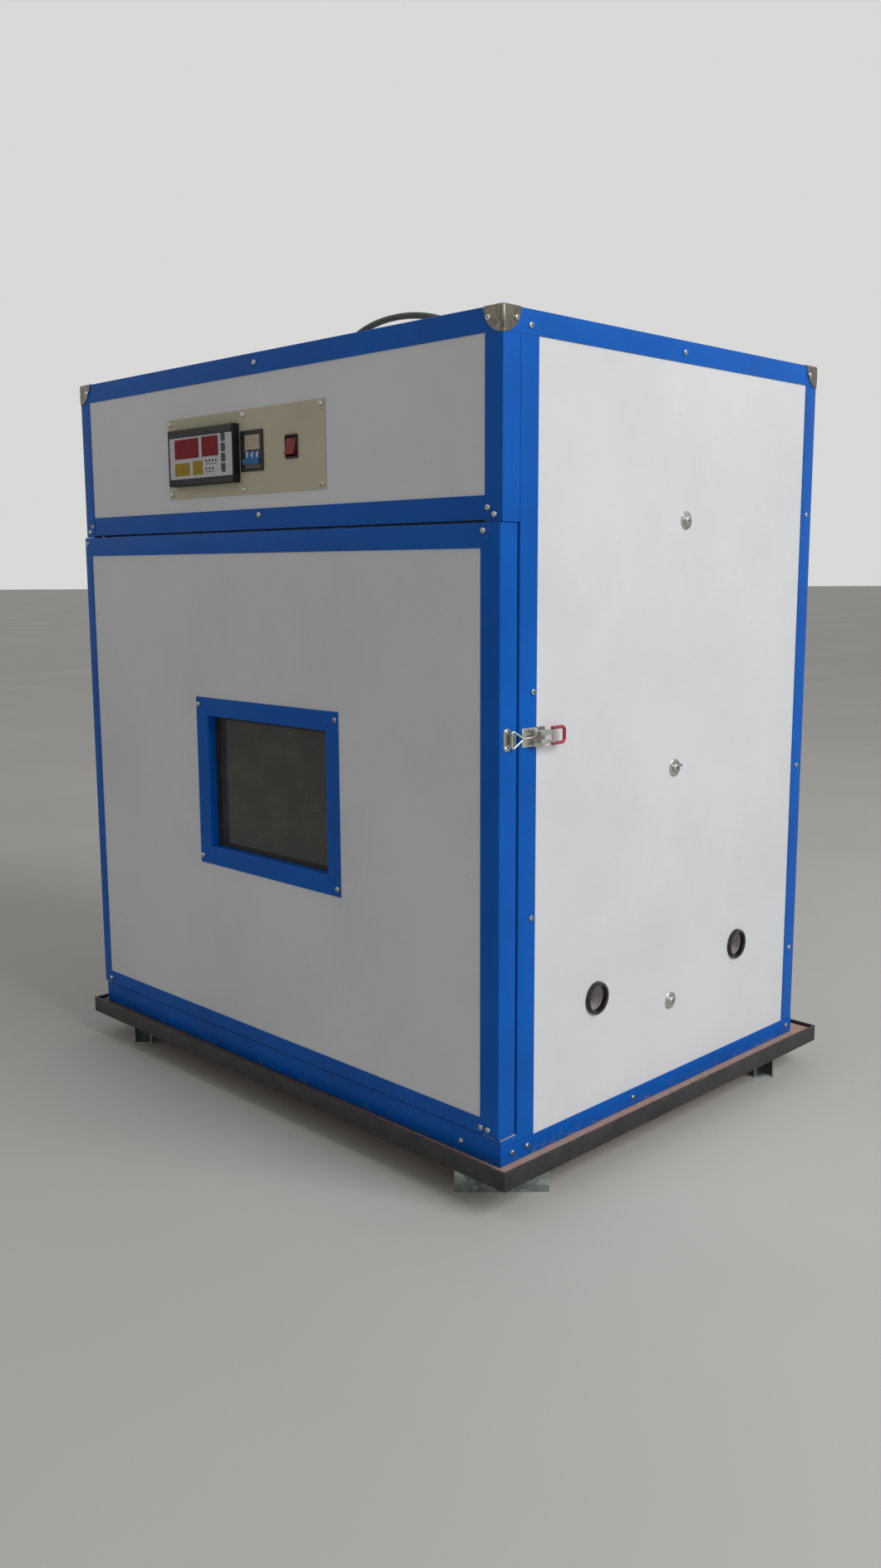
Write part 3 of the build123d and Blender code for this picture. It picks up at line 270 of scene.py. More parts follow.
@dataclass(frozen=True)
class PowderCoatedSteel(Finish):
    """Powder-coated folded steel: strong even colour, a fine orange peel and grey floor dust low down."""

    shade: str = "#0054AC"
    dusty: bool = True
    dust: str = "#A9A8A4"
    dust_from: float = 62 * MM
    dust_to: float = 110 * MM

    def dress(self, on: Surface) -> None:
        """Add a slow change of shade, 0.8 mm orange peel, and specks of dust near the floor.

        Args:
            on: The surface.
        """
        on.shader.inputs["Specular IOR Level"].default_value = 0.16
        slow = on.noise(9.0, 4.0)
        skin = on.mottle(slow, self.shade, self.colour)
        if self.dusty:
            low_down = on.spread(on.along("Z"), self.dust_from, self.dust_to, 1.0, 0.0)
            specks = on.sums("MULTIPLY", on.noise(520.0, 1.0), on.noise(60.0, 2.0))
            near = on.sums("MULTIPLY", specks, low_down)
            on.over(on.ramp(near, 0.34, 0.42, (0.4, 0.4, 0.4, 1)), skin, self.dust)
        self.worn(on, slow, -0.05, 0.10)
        on.grain(on.noise(1250.0, 1.0), 0.04 * MM, 0.4)


@dataclass(frozen=True)
class HotRolledSteel(Finish):
    """Hot-rolled angle bar left bare: blue-black mill scale, rusty along its cut top edge."""

    edge_height: float = 63.2 * MM
    rust: str = "#7C5443"

    def dress(self, on: Surface) -> None:
        """Add scale blotches 30 mm wide, pits 2 mm wide and rust where the bar was cut.

        Args:
            on: The surface.
        """
        on.shader.inputs["Metallic"].default_value = 0.15
        blotch = on.noise(30.0, 7.0, 0.65)
        scale = on.mottle(blotch, "#1F2021", "#393A3A", 0.32, 0.68)
        edge = on.spread(on.along("Z"), self.edge_height - 2.2 * MM, self.edge_height, 0.0, 0.3)
        rusty = on.sums("ADD", on.noise(85.0, 6.0, 0.7), edge)
        on.over(on.ramp(rusty, 0.70, 1.0, (0.7, 0.7, 0.7, 1)), scale, self.rust)
        self.worn(on, blotch, -0.1, 0.2)
        on.grain(on.noise(500.0, 3.0), 0.2 * MM, 0.5)


@dataclass(frozen=True)
class GalvanisedSheet(Finish):
    """Hot-dip galvanised sheet: grey zinc crystals some 8 mm wide, each with its own sheen."""

    def dress(self, on: Surface) -> None:
        """Add the zinc spangle and a faint 6 mm ripple.

        Args:
            on: The surface.
        """
        on.shader.inputs["Metallic"].default_value = 0.8
        spangle = on.cells(125.0)
        on.mottle(spangle["Red"], "#7D8684", self.colour, 0.0, 1.0)
        self.worn(on, spangle["Green"], -0.1, 0.15)
        on.grain(on.noise(160.0, 4.0), 0.1 * MM, 0.3)


@dataclass(frozen=True)
class PlatedMetal(Finish):
    """Zinc or nickel plate on pressed steel: bright metal with dull finger stains 10 mm wide."""

    stain: str = "#6E6B62"
    tooling: float = 0.3

    def dress(self, on: Surface) -> None:
        """Add stains and the press tool's fine 0.5 mm texture.

        Args:
            on: The surface.
        """
        on.shader.inputs["Metallic"].default_value = 1.0
        stains = on.noise(110.0, 4.0)
        on.mottle(stains, self.stain, self.colour, 0.3, 0.55)
        self.worn(on, stains, 0.10, -0.04)
        on.grain(on.noise(1800.0, 1.0), 0.03 * MM, self.tooling)


@dataclass(frozen=True)
class MouldedPlastic(Finish):
    """Injection-moulded ABS or polyamide: even colour with a spark-eroded grain of about 0.4 mm."""

    grain_mm: float = 0.4
    coat: float = 0.0

    def dress(self, on: Surface) -> None:
        """Add the mould's grain and a slight change of sheen from handling.

        Args:
            on: The surface.
        """
        on.shader.inputs["Coat Weight"].default_value = self.coat
        on.shader.inputs["Coat Roughness"].default_value = 0.08
        on.shader.inputs["Specular IOR Level"].default_value = 0.28
        handled = on.noise(60.0, 3.0)
        on.paint(on.ramp(handled, 0.35, 0.6, linear(self.colour), linear(self.colour, 0.86)))
        self.worn(on, handled, -0.05, 0.08)
        on.grain(on.noise(1 / (self.grain_mm * MM), 1.0), 0.05 * MM, 0.35)


@dataclass(frozen=True)
class ExtrudedRubber(Finish):
    """Extruded rubber or soft sheath: deep and matt, with a chalky bloom in patches."""

    def dress(self, on: Surface) -> None:
        """Add bloom patches 25 mm wide and a fine skin.

        Args:
            on: The surface.
        """
        bloom = on.noise(40.0, 5.0)
        on.mottle(bloom, self.colour, "#2B2B2C", 0.45, 0.8)
        self.worn(on, bloom, -0.1, 0.1)
        on.grain(on.noise(1500.0, 2.0), 0.05 * MM, 0.5)


@dataclass(frozen=True)
class FacedFibreboard(Finish):
    """Pink kraft-faced board: soft brown-pink paper with fibres, scuffed and dusty."""

    dust: str = "#A8A29A"
    # colour of the painted shade on the board's front face
    painted_shade: str = "#2A2625"

    def dress(self, on: Surface) -> None:
        """Add fibres about 1 mm by 12 mm, cement dust in 60 mm blotches, and painted shade that darkens the
        front face towards the left.

        Args:
            on: The surface.
        """
        fibre = on.noise(1.0, 4.0, stretch=(80.0, 900.0, 900.0))
        paper = on.mottle(fibre, "#967A6D", self.colour, 0.3, 0.65)
        dusty = on.over(on.ramp(on.noise(17.0, 6.0), 0.5, 0.75, (0.6, 0.6, 0.6, 1)), paper, self.dust)
        # painted shade: near-black laid over the front face, stronger towards the left, where the board lies
        # in shadow
        left = on.spread(on.along("X"), 0.44, 0.1, 0.15, 0.85)
        front = on.spread(on.along("Y"), -0.350, -0.354, 0.0, 1.0)
        on.over(on.sums("MULTIPLY", left, front), dusty, self.painted_shade)
        on.grain(fibre, 0.2 * MM, 0.4)


@dataclass(frozen=True)
class SmokedGlass(Finish):
    """Smoked double glazing: clear gloss over a dark tint, with a breath of dust."""

    def dress(self, on: Surface) -> None:
        """Make it transmissive and add dust 40 mm wide that dulls the gloss a little.

        Args:
            on: The surface.
        """
        on.shader.inputs["Transmission Weight"].default_value = 0.3
        on.shader.inputs["IOR"].default_value = 1.52
        dust = on.noise(25.0, 6.0)
        on.mottle(dust, self.colour, "#625E57", 0.45, 0.9)
        on.sheen(dust, 0.02, 0.22)


@dataclass(frozen=True)
class BrushedMetal(Finish):
    """Drawn aluminium or rolled stainless: long fine lines that stretch its highlights."""

    lines: tuple[float, float, float] = (12.0, 1400.0, 1400.0)
    shade: str = "#8E9092"

    def dress(self, on: Surface) -> None:
        """Add draw lines 0.7 mm apart.

        Args:
            on: The surface.
        """
        on.shader.inputs["Metallic"].default_value = 1.0
        drawn = on.noise(1.0, 3.0, stretch=self.lines)
        on.mottle(drawn, self.shade, self.colour)
        self.worn(on, drawn, -0.06, 0.12)
        on.grain(drawn, 0.04 * MM, 0.3)


@dataclass(frozen=True)
class TemperedTube(Finish):
    """Nickel-alloy heater sheath: dark with straw and brown temper colours."""

    def dress(self, on: Surface) -> None:
        """Add temper bands about 50 mm long.

        Args:
            on: The surface.
        """
        on.shader.inputs["Metallic"].default_value = 0.9
        heat = on.noise(20.0, 5.0)
        bands = [(0.3, linear("#4A4744")), (0.55, linear(self.colour)), (0.75, linear("#8C7C5E"))]
        on.paint(add(on.tree, "ShaderNodeValToRGB", {"Fac": heat}, stops=bands).outputs["Color"])
        on.sheen(heat, 0.35, 0.6)


@dataclass(frozen=True)
class PrintedFilm(Finish):
    """Silver-grey printed polyester keypad film: satin, with a fine pearl flake."""

    def dress(self, on: Surface) -> None:
        """Add flake about 0.5 mm wide.

        Args:
            on: The surface.
        """
        on.shader.inputs["Coat Weight"].default_value = 0.3
        on.mottle(on.cells(1900.0)["Red"], "#A9A8AB", self.colour, 0.0, 0.8)
        on.sheen(on.noise(45.0, 3.0), 0.3, 0.5)


@dataclass(frozen=True)
class TintedAcrylic(Finish):
    """Tinted acrylic over an unlit display: saturated gloss with the cells faint behind it."""

    cell: str = "#6A161B"

    def dress(self, on: Surface) -> None:
        """Add the faint unevenness of the display behind, 5 mm wide.

        Args:
            on: The surface.
        """
        on.shader.inputs["Specular IOR Level"].default_value = 0.06
        behind = on.noise(200.0, 2.0)
        on.mottle(behind, self.cell, self.colour, 0.25, 0.55)
        self.worn(on, behind, 0.0, 0.15)


@dataclass(frozen=True)
class DippedVinyl(Finish):
    """Hot-dipped vinyl on wire: thick, soft and glossy, slightly uneven where it ran."""

    def dress(self, on: Surface) -> None:
        """Add runs about 6 mm wide.

        Args:
            on: The surface.
        """
        on.shader.inputs["Coat Weight"].default_value = 0.4
        on.shader.inputs["Subsurface Weight"].default_value = 0.1
        on.shader.inputs["Subsurface Radius"].default_value = (2.0 * MM, 0.6 * MM, 0.6 * MM)
        runs = on.noise(170.0, 2.0)
        on.mottle(runs, "#7E1733", self.colour, 0.25, 0.6)
        on.grain(runs, 0.4 * MM, 0.4)


@dataclass(frozen=True)
class NaturalPolymer(Finish):
    """Uncoloured polypropylene: milky, slightly translucent and waxy."""

    def dress(self, on: Surface) -> None:
        """Add flow marks 50 mm wide and a waxy skin.

        Args:
            on: The surface.
        """
        on.shader.inputs["Subsurface Weight"].default_value = 0.15
        on.shader.inputs["Subsurface Radius"].default_value = (4 * MM, 4 * MM, 3 * MM)
        flow = on.noise(20.0, 4.0)
        on.mottle(flow, "#C4C3B8", self.colour)
        self.worn(on, flow, -0.05, 0.12)
        on.grain(on.noise(900.0, 1.0), 0.05 * MM, 0.3)


@dataclass(frozen=True)
class PlainFloor(Finish):
    """A plain pale painted floor, with only a trace of tone."""

    def dress(self, on: Surface) -> None:
        """Add a tone change a metre wide.

        Args:
            on: The surface.
        """
        on.mottle(on.noise(1.1, 3.0), "#BDBCB8", self.colour, 0.2, 0.8)


class Kit(Enum):
    """The finishes of this incubator, by where they are used."""

    PANEL = CoilCoatedSteel("coil_coated_white_steel", "white_panel", "#DADCE0", 0.30)
    INSIDE = CoilCoatedSteel("coil_coated_inner_skin", "inner_panel", "#D5D8D8", 0.38)
    TRIM = PowderCoatedSteel("powder_coated_blue_steel", "blue_trim", "#005EBE", 0.36)
    CAP = PlatedMetal("nickel_plated_pressing", "nickel_cap", "#7F7A70", 0.20, "#625E56", 0.05)
    SCREW = PlatedMetal("zinc_plated_screw", "screw_zinc", "#C9C9C4", 0.20, "#96948B")
    FITTING = PlatedMetal("zinc_plated_fitting", "zinc_steel", "#C6C7C3", 0.24, "#AEAFAA")
    RING = MouldedPlastic("black_abs_port", "vent_plastic", "#141415", 0.14, 1.2, 0.6)
    SLEEVE = MouldedPlastic("grey_abs_sleeve", "vent_plastic", "#C9C4C6", 0.35, 0.8, 0.2)
    GRIP = DippedVinyl("dipped_red_vinyl", "red_dip", "#B5274A", 0.25)
    PLATE = PowderCoatedSteel("powder_coated_beige_plate", "beige_plate", "#C9C3AA", 0.42, "#BEB89F", False)
    PLATE_EDGE = BrushedMetal("sheared_plate_edge", "beige_plate", "#C9C9C2", 0.3)
    CASE = MouldedPlastic("black_abs_case", "black_plastic", "#1B1A1D", 0.38)
    KEY = MouldedPlastic("grey_keypad_dome", "grey_key", "#494A55", 0.45)
    LABEL = PrintedFilm("printed_keypad_film", "black_plastic", "#C9C8CB", 0.4)
    RED_WINDOW = TintedAcrylic("red_tinted_acrylic", "black_plastic", "#8C2A32", 0.25, "#741D25")
    AMBER_WINDOW = TintedAcrylic("amber_tinted_acrylic", "black_plastic", "#A88E30", 0.25, "#8C7322")
    MARK = MouldedPlastic("dark_indicator_lens", "black_plastic", "#18171B", 0.3)
    BREAKER = MouldedPlastic("urea_breaker_face", "beige_plastic", "#CBC0AB", 0.45)
    BREAKER_MARK = MouldedPlastic("printed_orange_mark", "beige_plastic", "#BD8562", 0.5)
    RIB = MouldedPlastic("white_pole_cap", "beige_plastic", "#E2E4E6", 0.3)
    TOGGLE = MouldedPlastic("blue_toggle_bar", "blue_plastic", "#3474B0", 0.3)
    ROCKER = MouldedPlastic("red_rocker_key", "red_key", "#86101C", 0.28, 1.0, 0.0)
    RUBBER = ExtrudedRubber("extruded_black_rubber", "black_rubber", "#141414", 0.65)
    GLASS = SmokedGlass("smoked_double_glazing", "window_glass", "#4B4843", 0.04)
    TRAY = HotRolledSteel("hot_rolled_angle_bar", "dark_steel", "#3C3D3E", 0.5)
    WELD = HotRolledSteel("oxidised_weld_bead", "dark_steel", "#5A4A42", 0.55, 0.05)
    BOARD = FacedFibreboard("kraft_faced_board", "plywood", "#C6A090", 0.8)
    FOOT = GalvanisedSheet("galvanised_channel", "galvanised", "#A9B3B1", 0.42)
    RACK = BrushedMetal("drawn_aluminium", "rack_aluminium", "#C9CBCD", 0.36)
    EGG_TRAY = NaturalPolymer("natural_polypropylene", "tray_plastic", "#E4E3DA", 0.42)
    GEAR = PlatedMetal("cut_gear_steel", "gear_steel", "#A8A8A6", 0.3, "#6F6D68")
    MOTOR = MouldedPlastic("black_stove_enamel", "motor_case", "#26272A", 0.4)
    FAN = BrushedMetal("stamped_fan_aluminium", "fan_aluminium", "#C4C6C8", 0.34, (900.0, 900.0, 40.0))
    HEATER = TemperedTube("nickel_alloy_heater_tube", "heater_steel", "#6B6358", 0.45)
    PAN = BrushedMetal("rolled_stainless_pan", "pan_steel", "#B9BBBC", 0.3, (1400.0, 12.0, 1400.0))
    NYLON = MouldedPlastic("black_nylon_fitting", "cord_fitting", "#1C1D1E", 0.4)
    CORD = ExtrudedRubber("grey_pvc_sheath", "cord_sheath", "#3B403F", 0.42)
    WIRE = PlatedMetal("zinc_plated_wire", "zinc_steel", "#E4E5E2", 0.16, "#CBCBC6")
    PIN = PlatedMetal("nickel_plated_pin", "screw_zinc", "#CFCBBE", 0.18)


# Mesh tools -------------------------------------------------------------------------------------
def soften(bm: Mesh, edges: list, width: float, segments: int = 1) -> None:
    """Round a mesh's edges by a bevel of some width, in so many steps."""
    bmesh.ops.bevel(bm, geom=edges, offset=width, offset_type="OFFSET", affect="EDGES",
                    segments=segments, profile=0.5, material=-1, clamp_overlap=True)


def sharp(bm: Mesh, above: float = 40.0) -> list:
    """Return the edges whose faces turn by more than an angle in degrees."""
    limit = math.radians(above)
    return [e for e in bm.edges if len(e.link_faces) == 2 and e.calc_face_angle(0.0) > limit]


def block(low: tuple, high: tuple, round_off: float = 0.0, segments: int = 2) -> Mesh:
    """Make a box between two corners, with its edges rounded.

    Args:
        low: One corner.
        high: The opposite corner.
        round_off: Width of the rounding.
        segments: Steps of the rounding.

    Returns:
        The box as a new mesh.
    """
    first, second = Vector(low), Vector(high)
    size = [max(abs(b - a), MERGE_WITHIN) for a, b in zip(first, second)]
    bm = bmesh.new()
    bmesh.ops.create_cube(bm, size=1.0, matrix=Matrix.Translation((first + second) / 2)
                          @ Matrix.Diagonal((*size, 1.0)))
    if round_off:
        soften(bm, bm.edges[:], round_off, segments)
    return bm


def rounded_plate(low: tuple, high: tuple, axis: int, radius: float, edge: float = 0.0,
                  segments: int = 5) -> Mesh:
    """Make a flat plate whose corners are rounded as seen along one axis.

    Args:
        low: One corner.
        high: The opposite corner.
        axis: The axis that the plate's thickness lies along.
        radius: Radius of its corners.
        edge: Width of the bevel round its faces.
        segments: Steps of each corner.

    Returns:
        The plate as a new mesh.
    """
    bm = block(low, high)
    along = [e for e in bm.edges if abs((e.verts[0].co - e.verts[1].co).normalized()[axis]) > 0.9]
    soften(bm, along, radius, segments)
    if edge:
        soften(bm, sharp(bm, 60), edge, 1)
    return bm


def prism(sides: int, radius: float, depth: float, place: Matrix, top: float = 1.0) -> Mesh:
    """Make a regular prism.

    Args:
        sides: How many sides it has.
        radius: Its radius at the foot.
        depth: Its length.
        place: Where its middle stands.
        top: Radius at the top against the foot's.

    Returns:
        The prism as a new mesh.
    """
    bm = bmesh.new()
    bmesh.ops.create_cone(bm, cap_ends=True, segments=sides, radius1=radius, radius2=radius * top,
                          depth=depth, matrix=place)
    return bm


def merge(bm: Mesh, other: Mesh, places: list | None = None) -> None:
    """Add one mesh to another, once or at several places, and free it.

    Args:
        bm: The mesh that grows.
        other: The mesh to add.
        places: Matrices of the copies.
    """
    shape = bpy.data.meshes.new("shape")
    other.to_mesh(shape)
    other.free()
    for place in places or [Matrix.Identity(4)]:
        start = len(bm.verts)
        bm.from_mesh(shape)
        bm.verts.ensure_lookup_table()
        bmesh.ops.transform(bm, matrix=place, verts=bm.verts[start:])
    bpy.data.meshes.remove(shape)


def turned(profile: list, axis: Vector, centre: Vector, start: Vector = UP, steps: int = 32) -> Mesh:
    """Turn a profile round an axis.

    Args:
        profile: Points as distance along the axis and radius.
        axis: The axis, of length 1.
        centre: The point at distance 0.
        start: The direction, square to the axis, that the profile is drawn in.
        steps: Steps of the turn.

    Returns:
        The turned shape as a new mesh.
    """
    bm = bmesh.new()
    points = [bm.verts.new(centre + axis * along + start * radius) for along, radius in profile]
    edges = [bm.edges.new(pair) for pair in zip(points, points[1:])]
    bmesh.ops.spin(bm, geom=points + edges, cent=centre, axis=axis, angle=math.tau, steps=steps,
                   use_merge=True)
    bmesh.ops.remove_doubles(bm, verts=bm.verts[:], dist=MERGE_WITHIN)
    bmesh.ops.recalc_face_normals(bm, faces=bm.faces[:])
    return bm


def extruded(outline: list, run: Vector) -> Mesh:
    """Push a flat outline along a straight run.

    Args:
        outline: The outline's corners.
        run: From its start to its end.

    Returns:
        The solid as a new mesh.
    """
    bm = bmesh.new()
    face = bm.faces.new([bm.verts.new(point) for point in outline])
    grown = bmesh.ops.extrude_face_region(bm, geom=[face])
    bmesh.ops.translate(bm, vec=run, verts=[v for v in grown["geom"] if isinstance(v, bmesh.types.BMVert)])
    bmesh.ops.recalc_face_normals(bm, faces=bm.faces[:])
    return bm


def folded_strip(corner: Vector, run: Vector, legs: tuple, sheet: float, fold: float) -> Mesh:
    """Make a folded angle strip with a rounded fold.

    Args:
        corner: The fold's outer corner at the strip's start.
        run: From the strip's start to its end.
        legs: Two vectors from the fold to the ends of its legs.
        sheet: The sheet's thickness.
        fold: The fold's outer radius.

    Returns:
        The strip as a new mesh.
    """
    first, second = legs
    in_first, in_second = first.normalized() * sheet, second.normalized() * sheet
    bm = extruded([corner, corner + first, corner + first + in_second, corner + in_first + in_second,
                   corner + second + in_first, corner + second], run)
    outer = [e for e in bm.edges if all(min((v.co - corner).length, (v.co - corner - run).length)
                                        < MERGE_WITHIN for v in e.verts)]
    soften(bm, outer, fold, 4)
    return bm


def around(low: Vector, high: Vector) -> list[tuple[Vector, Vector, Vector]]:
    """List the sides of an upright rectangle that faces -Y.

    Args:
        low: Its lowest corner.
        high: Its highest corner, whose y isn't used.

    Returns:
        The start, end and direction of each side.
    """
    corners = [Vector((x, low.y, z)) for x, z in ((low.x, low.z), (high.x, low.z), (high.x, high.z),
                                                  (low.x, high.z))]
    return [(a, b, (b - a).normalized()) for a, b in zip(corners, corners[1:] + corners[:1])]


def cut(bm: Mesh, through: Vector, away: Vector) -> None:
    """Cut a mesh by a plane, take one side off and close it.

    Args:
        bm: The mesh.
        through: A point of the plane.
        away: The way that the side to take off lies.
    """
    bmesh.ops.bisect_plane(bm, geom=bm.verts[:] + bm.edges[:] + bm.faces[:], dist=1e-7,
                           plane_co=through, plane_no=away.normalized(), clear_outer=True)
    bmesh.ops.holes_fill(bm, edges=[e for e in bm.edges if e.is_boundary], sides=0)


def carved(body: Mesh, tool: Mesh) -> Mesh:
    """Cut one closed mesh out of another.

    Args:
        body: The mesh to carve, which is freed.
        tool: The mesh that is cut out, which is freed.

    Returns:
        What is left of the body, as a new mesh.
    """
    objects = []
    for source in (body, tool):
        shape = bpy.data.meshes.new("shape")
        source.to_mesh(shape)
        source.free()
        objects.append(bpy.data.objects.new("shape", shape))
        bpy.context.scene.collection.objects.link(objects[-1])
    cutter = objects[0].modifiers.new("cut", "BOOLEAN")
    cutter.operation, cutter.solver, cutter.object = "DIFFERENCE", "EXACT", objects[1]
    result = bmesh.new()
    result.from_mesh(objects[0].evaluated_get(bpy.context.evaluated_depsgraph_get()).to_mesh())
    for item in objects:
        shape = item.data
        bpy.data.objects.remove(item)
        bpy.data.meshes.remove(shape)
    return result


def frame_copy(node: str, width: float = 0.0, segments: int = 1, above: float = 40.0) -> Mesh:
    """Copy a frame node's mesh, merge its flat facets and round its edges.

    Args:
        node: The node's name.
        width: Width of the rounding.
        segments: Its steps.
        above: Edges that turn by more than this many degrees are rounded.

    Returns:
        The copy as a new mesh.
    """
    bm = bmesh.new()
    bm.from_mesh(frame["nodes"][node].data)
    bmesh.ops.remove_doubles(bm, verts=bm.verts[:], dist=2 * MERGE_WITHIN)
    bmesh.ops.dissolve_limit(bm, angle_limit=math.radians(0.3), verts=bm.verts[:], edges=bm.edges[:])
    if width:
        soften(bm, sharp(bm, above), width, segments)
    return bm


def islands(node: str) -> list[tuple[Vector, Vector]]:
    """Return the box of each separate solid of a frame node, in a settled order.

    Args:
        node: The node's name.

    Returns:
        Lowest and highest corners.
    """
    bm = frame_copy(node)
    left, boxes = set(bm.verts), []
    while left:
        queue, found = [left.pop()], []
        while queue:
            vert = queue.pop()
            found.append(vert.co.copy())
            for other in [edge.other_vert(vert) for edge in vert.link_edges]:
                if other in left:
                    left.remove(other)
                    queue.append(other)
        boxes.append((Vector(map(min, zip(*found))), Vector(map(max, zip(*found)))))
    bm.free()
    return sorted(boxes, key=lambda box: tuple(round(c, 5) for c in (*box[0], *box[1])))


def middle(box: tuple[Vector, Vector]) -> Vector:
    """Return a box's middle."""
    return (box[0] + box[1]) / 2


def piece(name: str, bm: Mesh, body: str, finish: Kit, nodes: tuple = (),
          extra: tuple = ()) -> bpy.types.Object:
    """Turn a mesh into a named piece that rides on a body.

    Args:
        name: The piece's name.
        bm: Its mesh, which is freed.
        body: The body that it rides on.
        finish: Its finish.
        nodes: Frame nodes that it stands for.
        extra: More finishes, used by the faces' material numbers.

    Returns:
        The new object.
    """
    shape = bpy.data.meshes.new(name)
    bm.to_mesh(shape)
    bm.free()
    for used in (finish, *extra):
        shape.materials.append(used.value.material())
    shape.shade_smooth()
    shape.set_sharp_from_angle(angle=SMOOTH_BELOW)
    made = bpy.data.objects.new(name, shape)
    bpy.context.scene.collection.objects.link(made)
    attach(made, body)
    if nodes:
        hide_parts(*nodes)
    LOG.info("%s: %d faces on %s", name, len(shape.polygons), body)
    return made


def rounded(name: str, node: str, body: str, finish: Kit, *rounding: float) -> None:
    """Make a piece that is one frame node with rounded edges, as frame_copy rounds them."""
    piece(name, frame_copy(node, *rounding), body, finish, (node,))


def dress(finish: Kit, *nodes: str) -> None:
    """Give frame nodes that stay in view a finish.

    Args:
        finish: The finish.
        nodes: The nodes' names.
    """
    for node in nodes:
        shown = frame["nodes"][node]
        if not shown.material_slots:
            shown.data.materials.append(None)
        for place in shown.material_slots:
            place.material = finish.value.material()
        LOG.info("%s: frame node in %s", node, finish.value.name)


# Fasteners --------------------------------------------------------------------------------------
@dataclass
class Fasteners:
    """Pan-head cross-recess screws, seated where the frame has its plain ones."""

    head: float = 7.5 * MM
    rise: float = 2.2 * MM
    wing: float = 4.4 * MM
    slot: float = 0.95 * MM
    sink: float = 1.5 * MM
    seed: int = 7

    def head_shape(self, scale: float) -> Mesh:
        """Make one head on the z = 0 plane, looking along +Z.

        Args:
            scale: Size against the usual screw.

        Returns:
            The head as a new mesh.
        """
        bm = prism(24, self.head / 2, self.rise, Matrix.Translation((0, 0, self.rise / 2)), 0.93)
        soften(bm, [e for e in bm.edges if all(v.co.z > self.rise * 0.9 for v in e.verts)], 1.1 * MM, 3)
        for turn in (0, 90):
            arm = block((-self.wing / 2, -self.slot / 2, self.rise - self.sink),
                        (self.wing / 2, self.slot / 2, self.rise + 1 * MM))
            for vert in arm.verts:
                if vert.co.z < self.rise:
                    vert.co.x *= 0.45
            bmesh.ops.transform(arm, matrix=Matrix.Rotation(math.radians(turn), 4, "Z"), verts=arm.verts[:])
            bm = carved(bm, arm)
        bmesh.ops.scale(bm, vec=(scale, scale, scale), verts=bm.verts[:])
        return bm

    def seat(self, box: tuple[Vector, Vector], centre: Vector) -> tuple[Vector, Vector]:
        """Find where a screw's head stands.

        Args:
            box: Lowest and highest corners of the plain screw.
            centre: The middle of what it is screwed into.

        Returns:
            The middle of the head's foot and the way that it looks.
        """
        tip = middle(box)
        axis = max(range(3), key=lambda n: (box[1] - box[0])[n])
        outward = tip[axis] > centre[axis]
        out = Vector((0, 0, 0))
        out[axis] = 1.0 if outward else -1.0
        tip[axis] = box[int(outward)][axis]
        return tip - out * self.rise, out

    def stand(self, places: list, scale: float = 1.0) -> Mesh:
        """Stand a head on each place, each turned as it happened to stop.

        Args:
            places: Pairs of a foot and the way that the head looks.
            scale: Size against the usual screw.

        Returns:
            All the heads as one mesh.
        """
        chance = random.Random(self.seed)
        bm = bmesh.new()
        merge(bm, self.head_shape(scale), [
            Matrix.Translation(foot) @ out.to_track_quat("Z", "Y").to_matrix().to_4x4()
            @ Matrix.Rotation(chance.uniform(0, math.tau), 4, "Z") for foot, out in places])
        return bm

    def build(self) -> None:
        """Make the cabinet's and the door's screws."""
        centre = middle(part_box("right_wall"))
        centre.x = 0
        for node, body in (("cabinet_screws", "root"), ("door_screws", "door")):
            places = [self.seat(box, centre) for box in islands(node)]
            piece(f"{node}_heads", self.stand(places), body, Kit.SCREW, (node,))


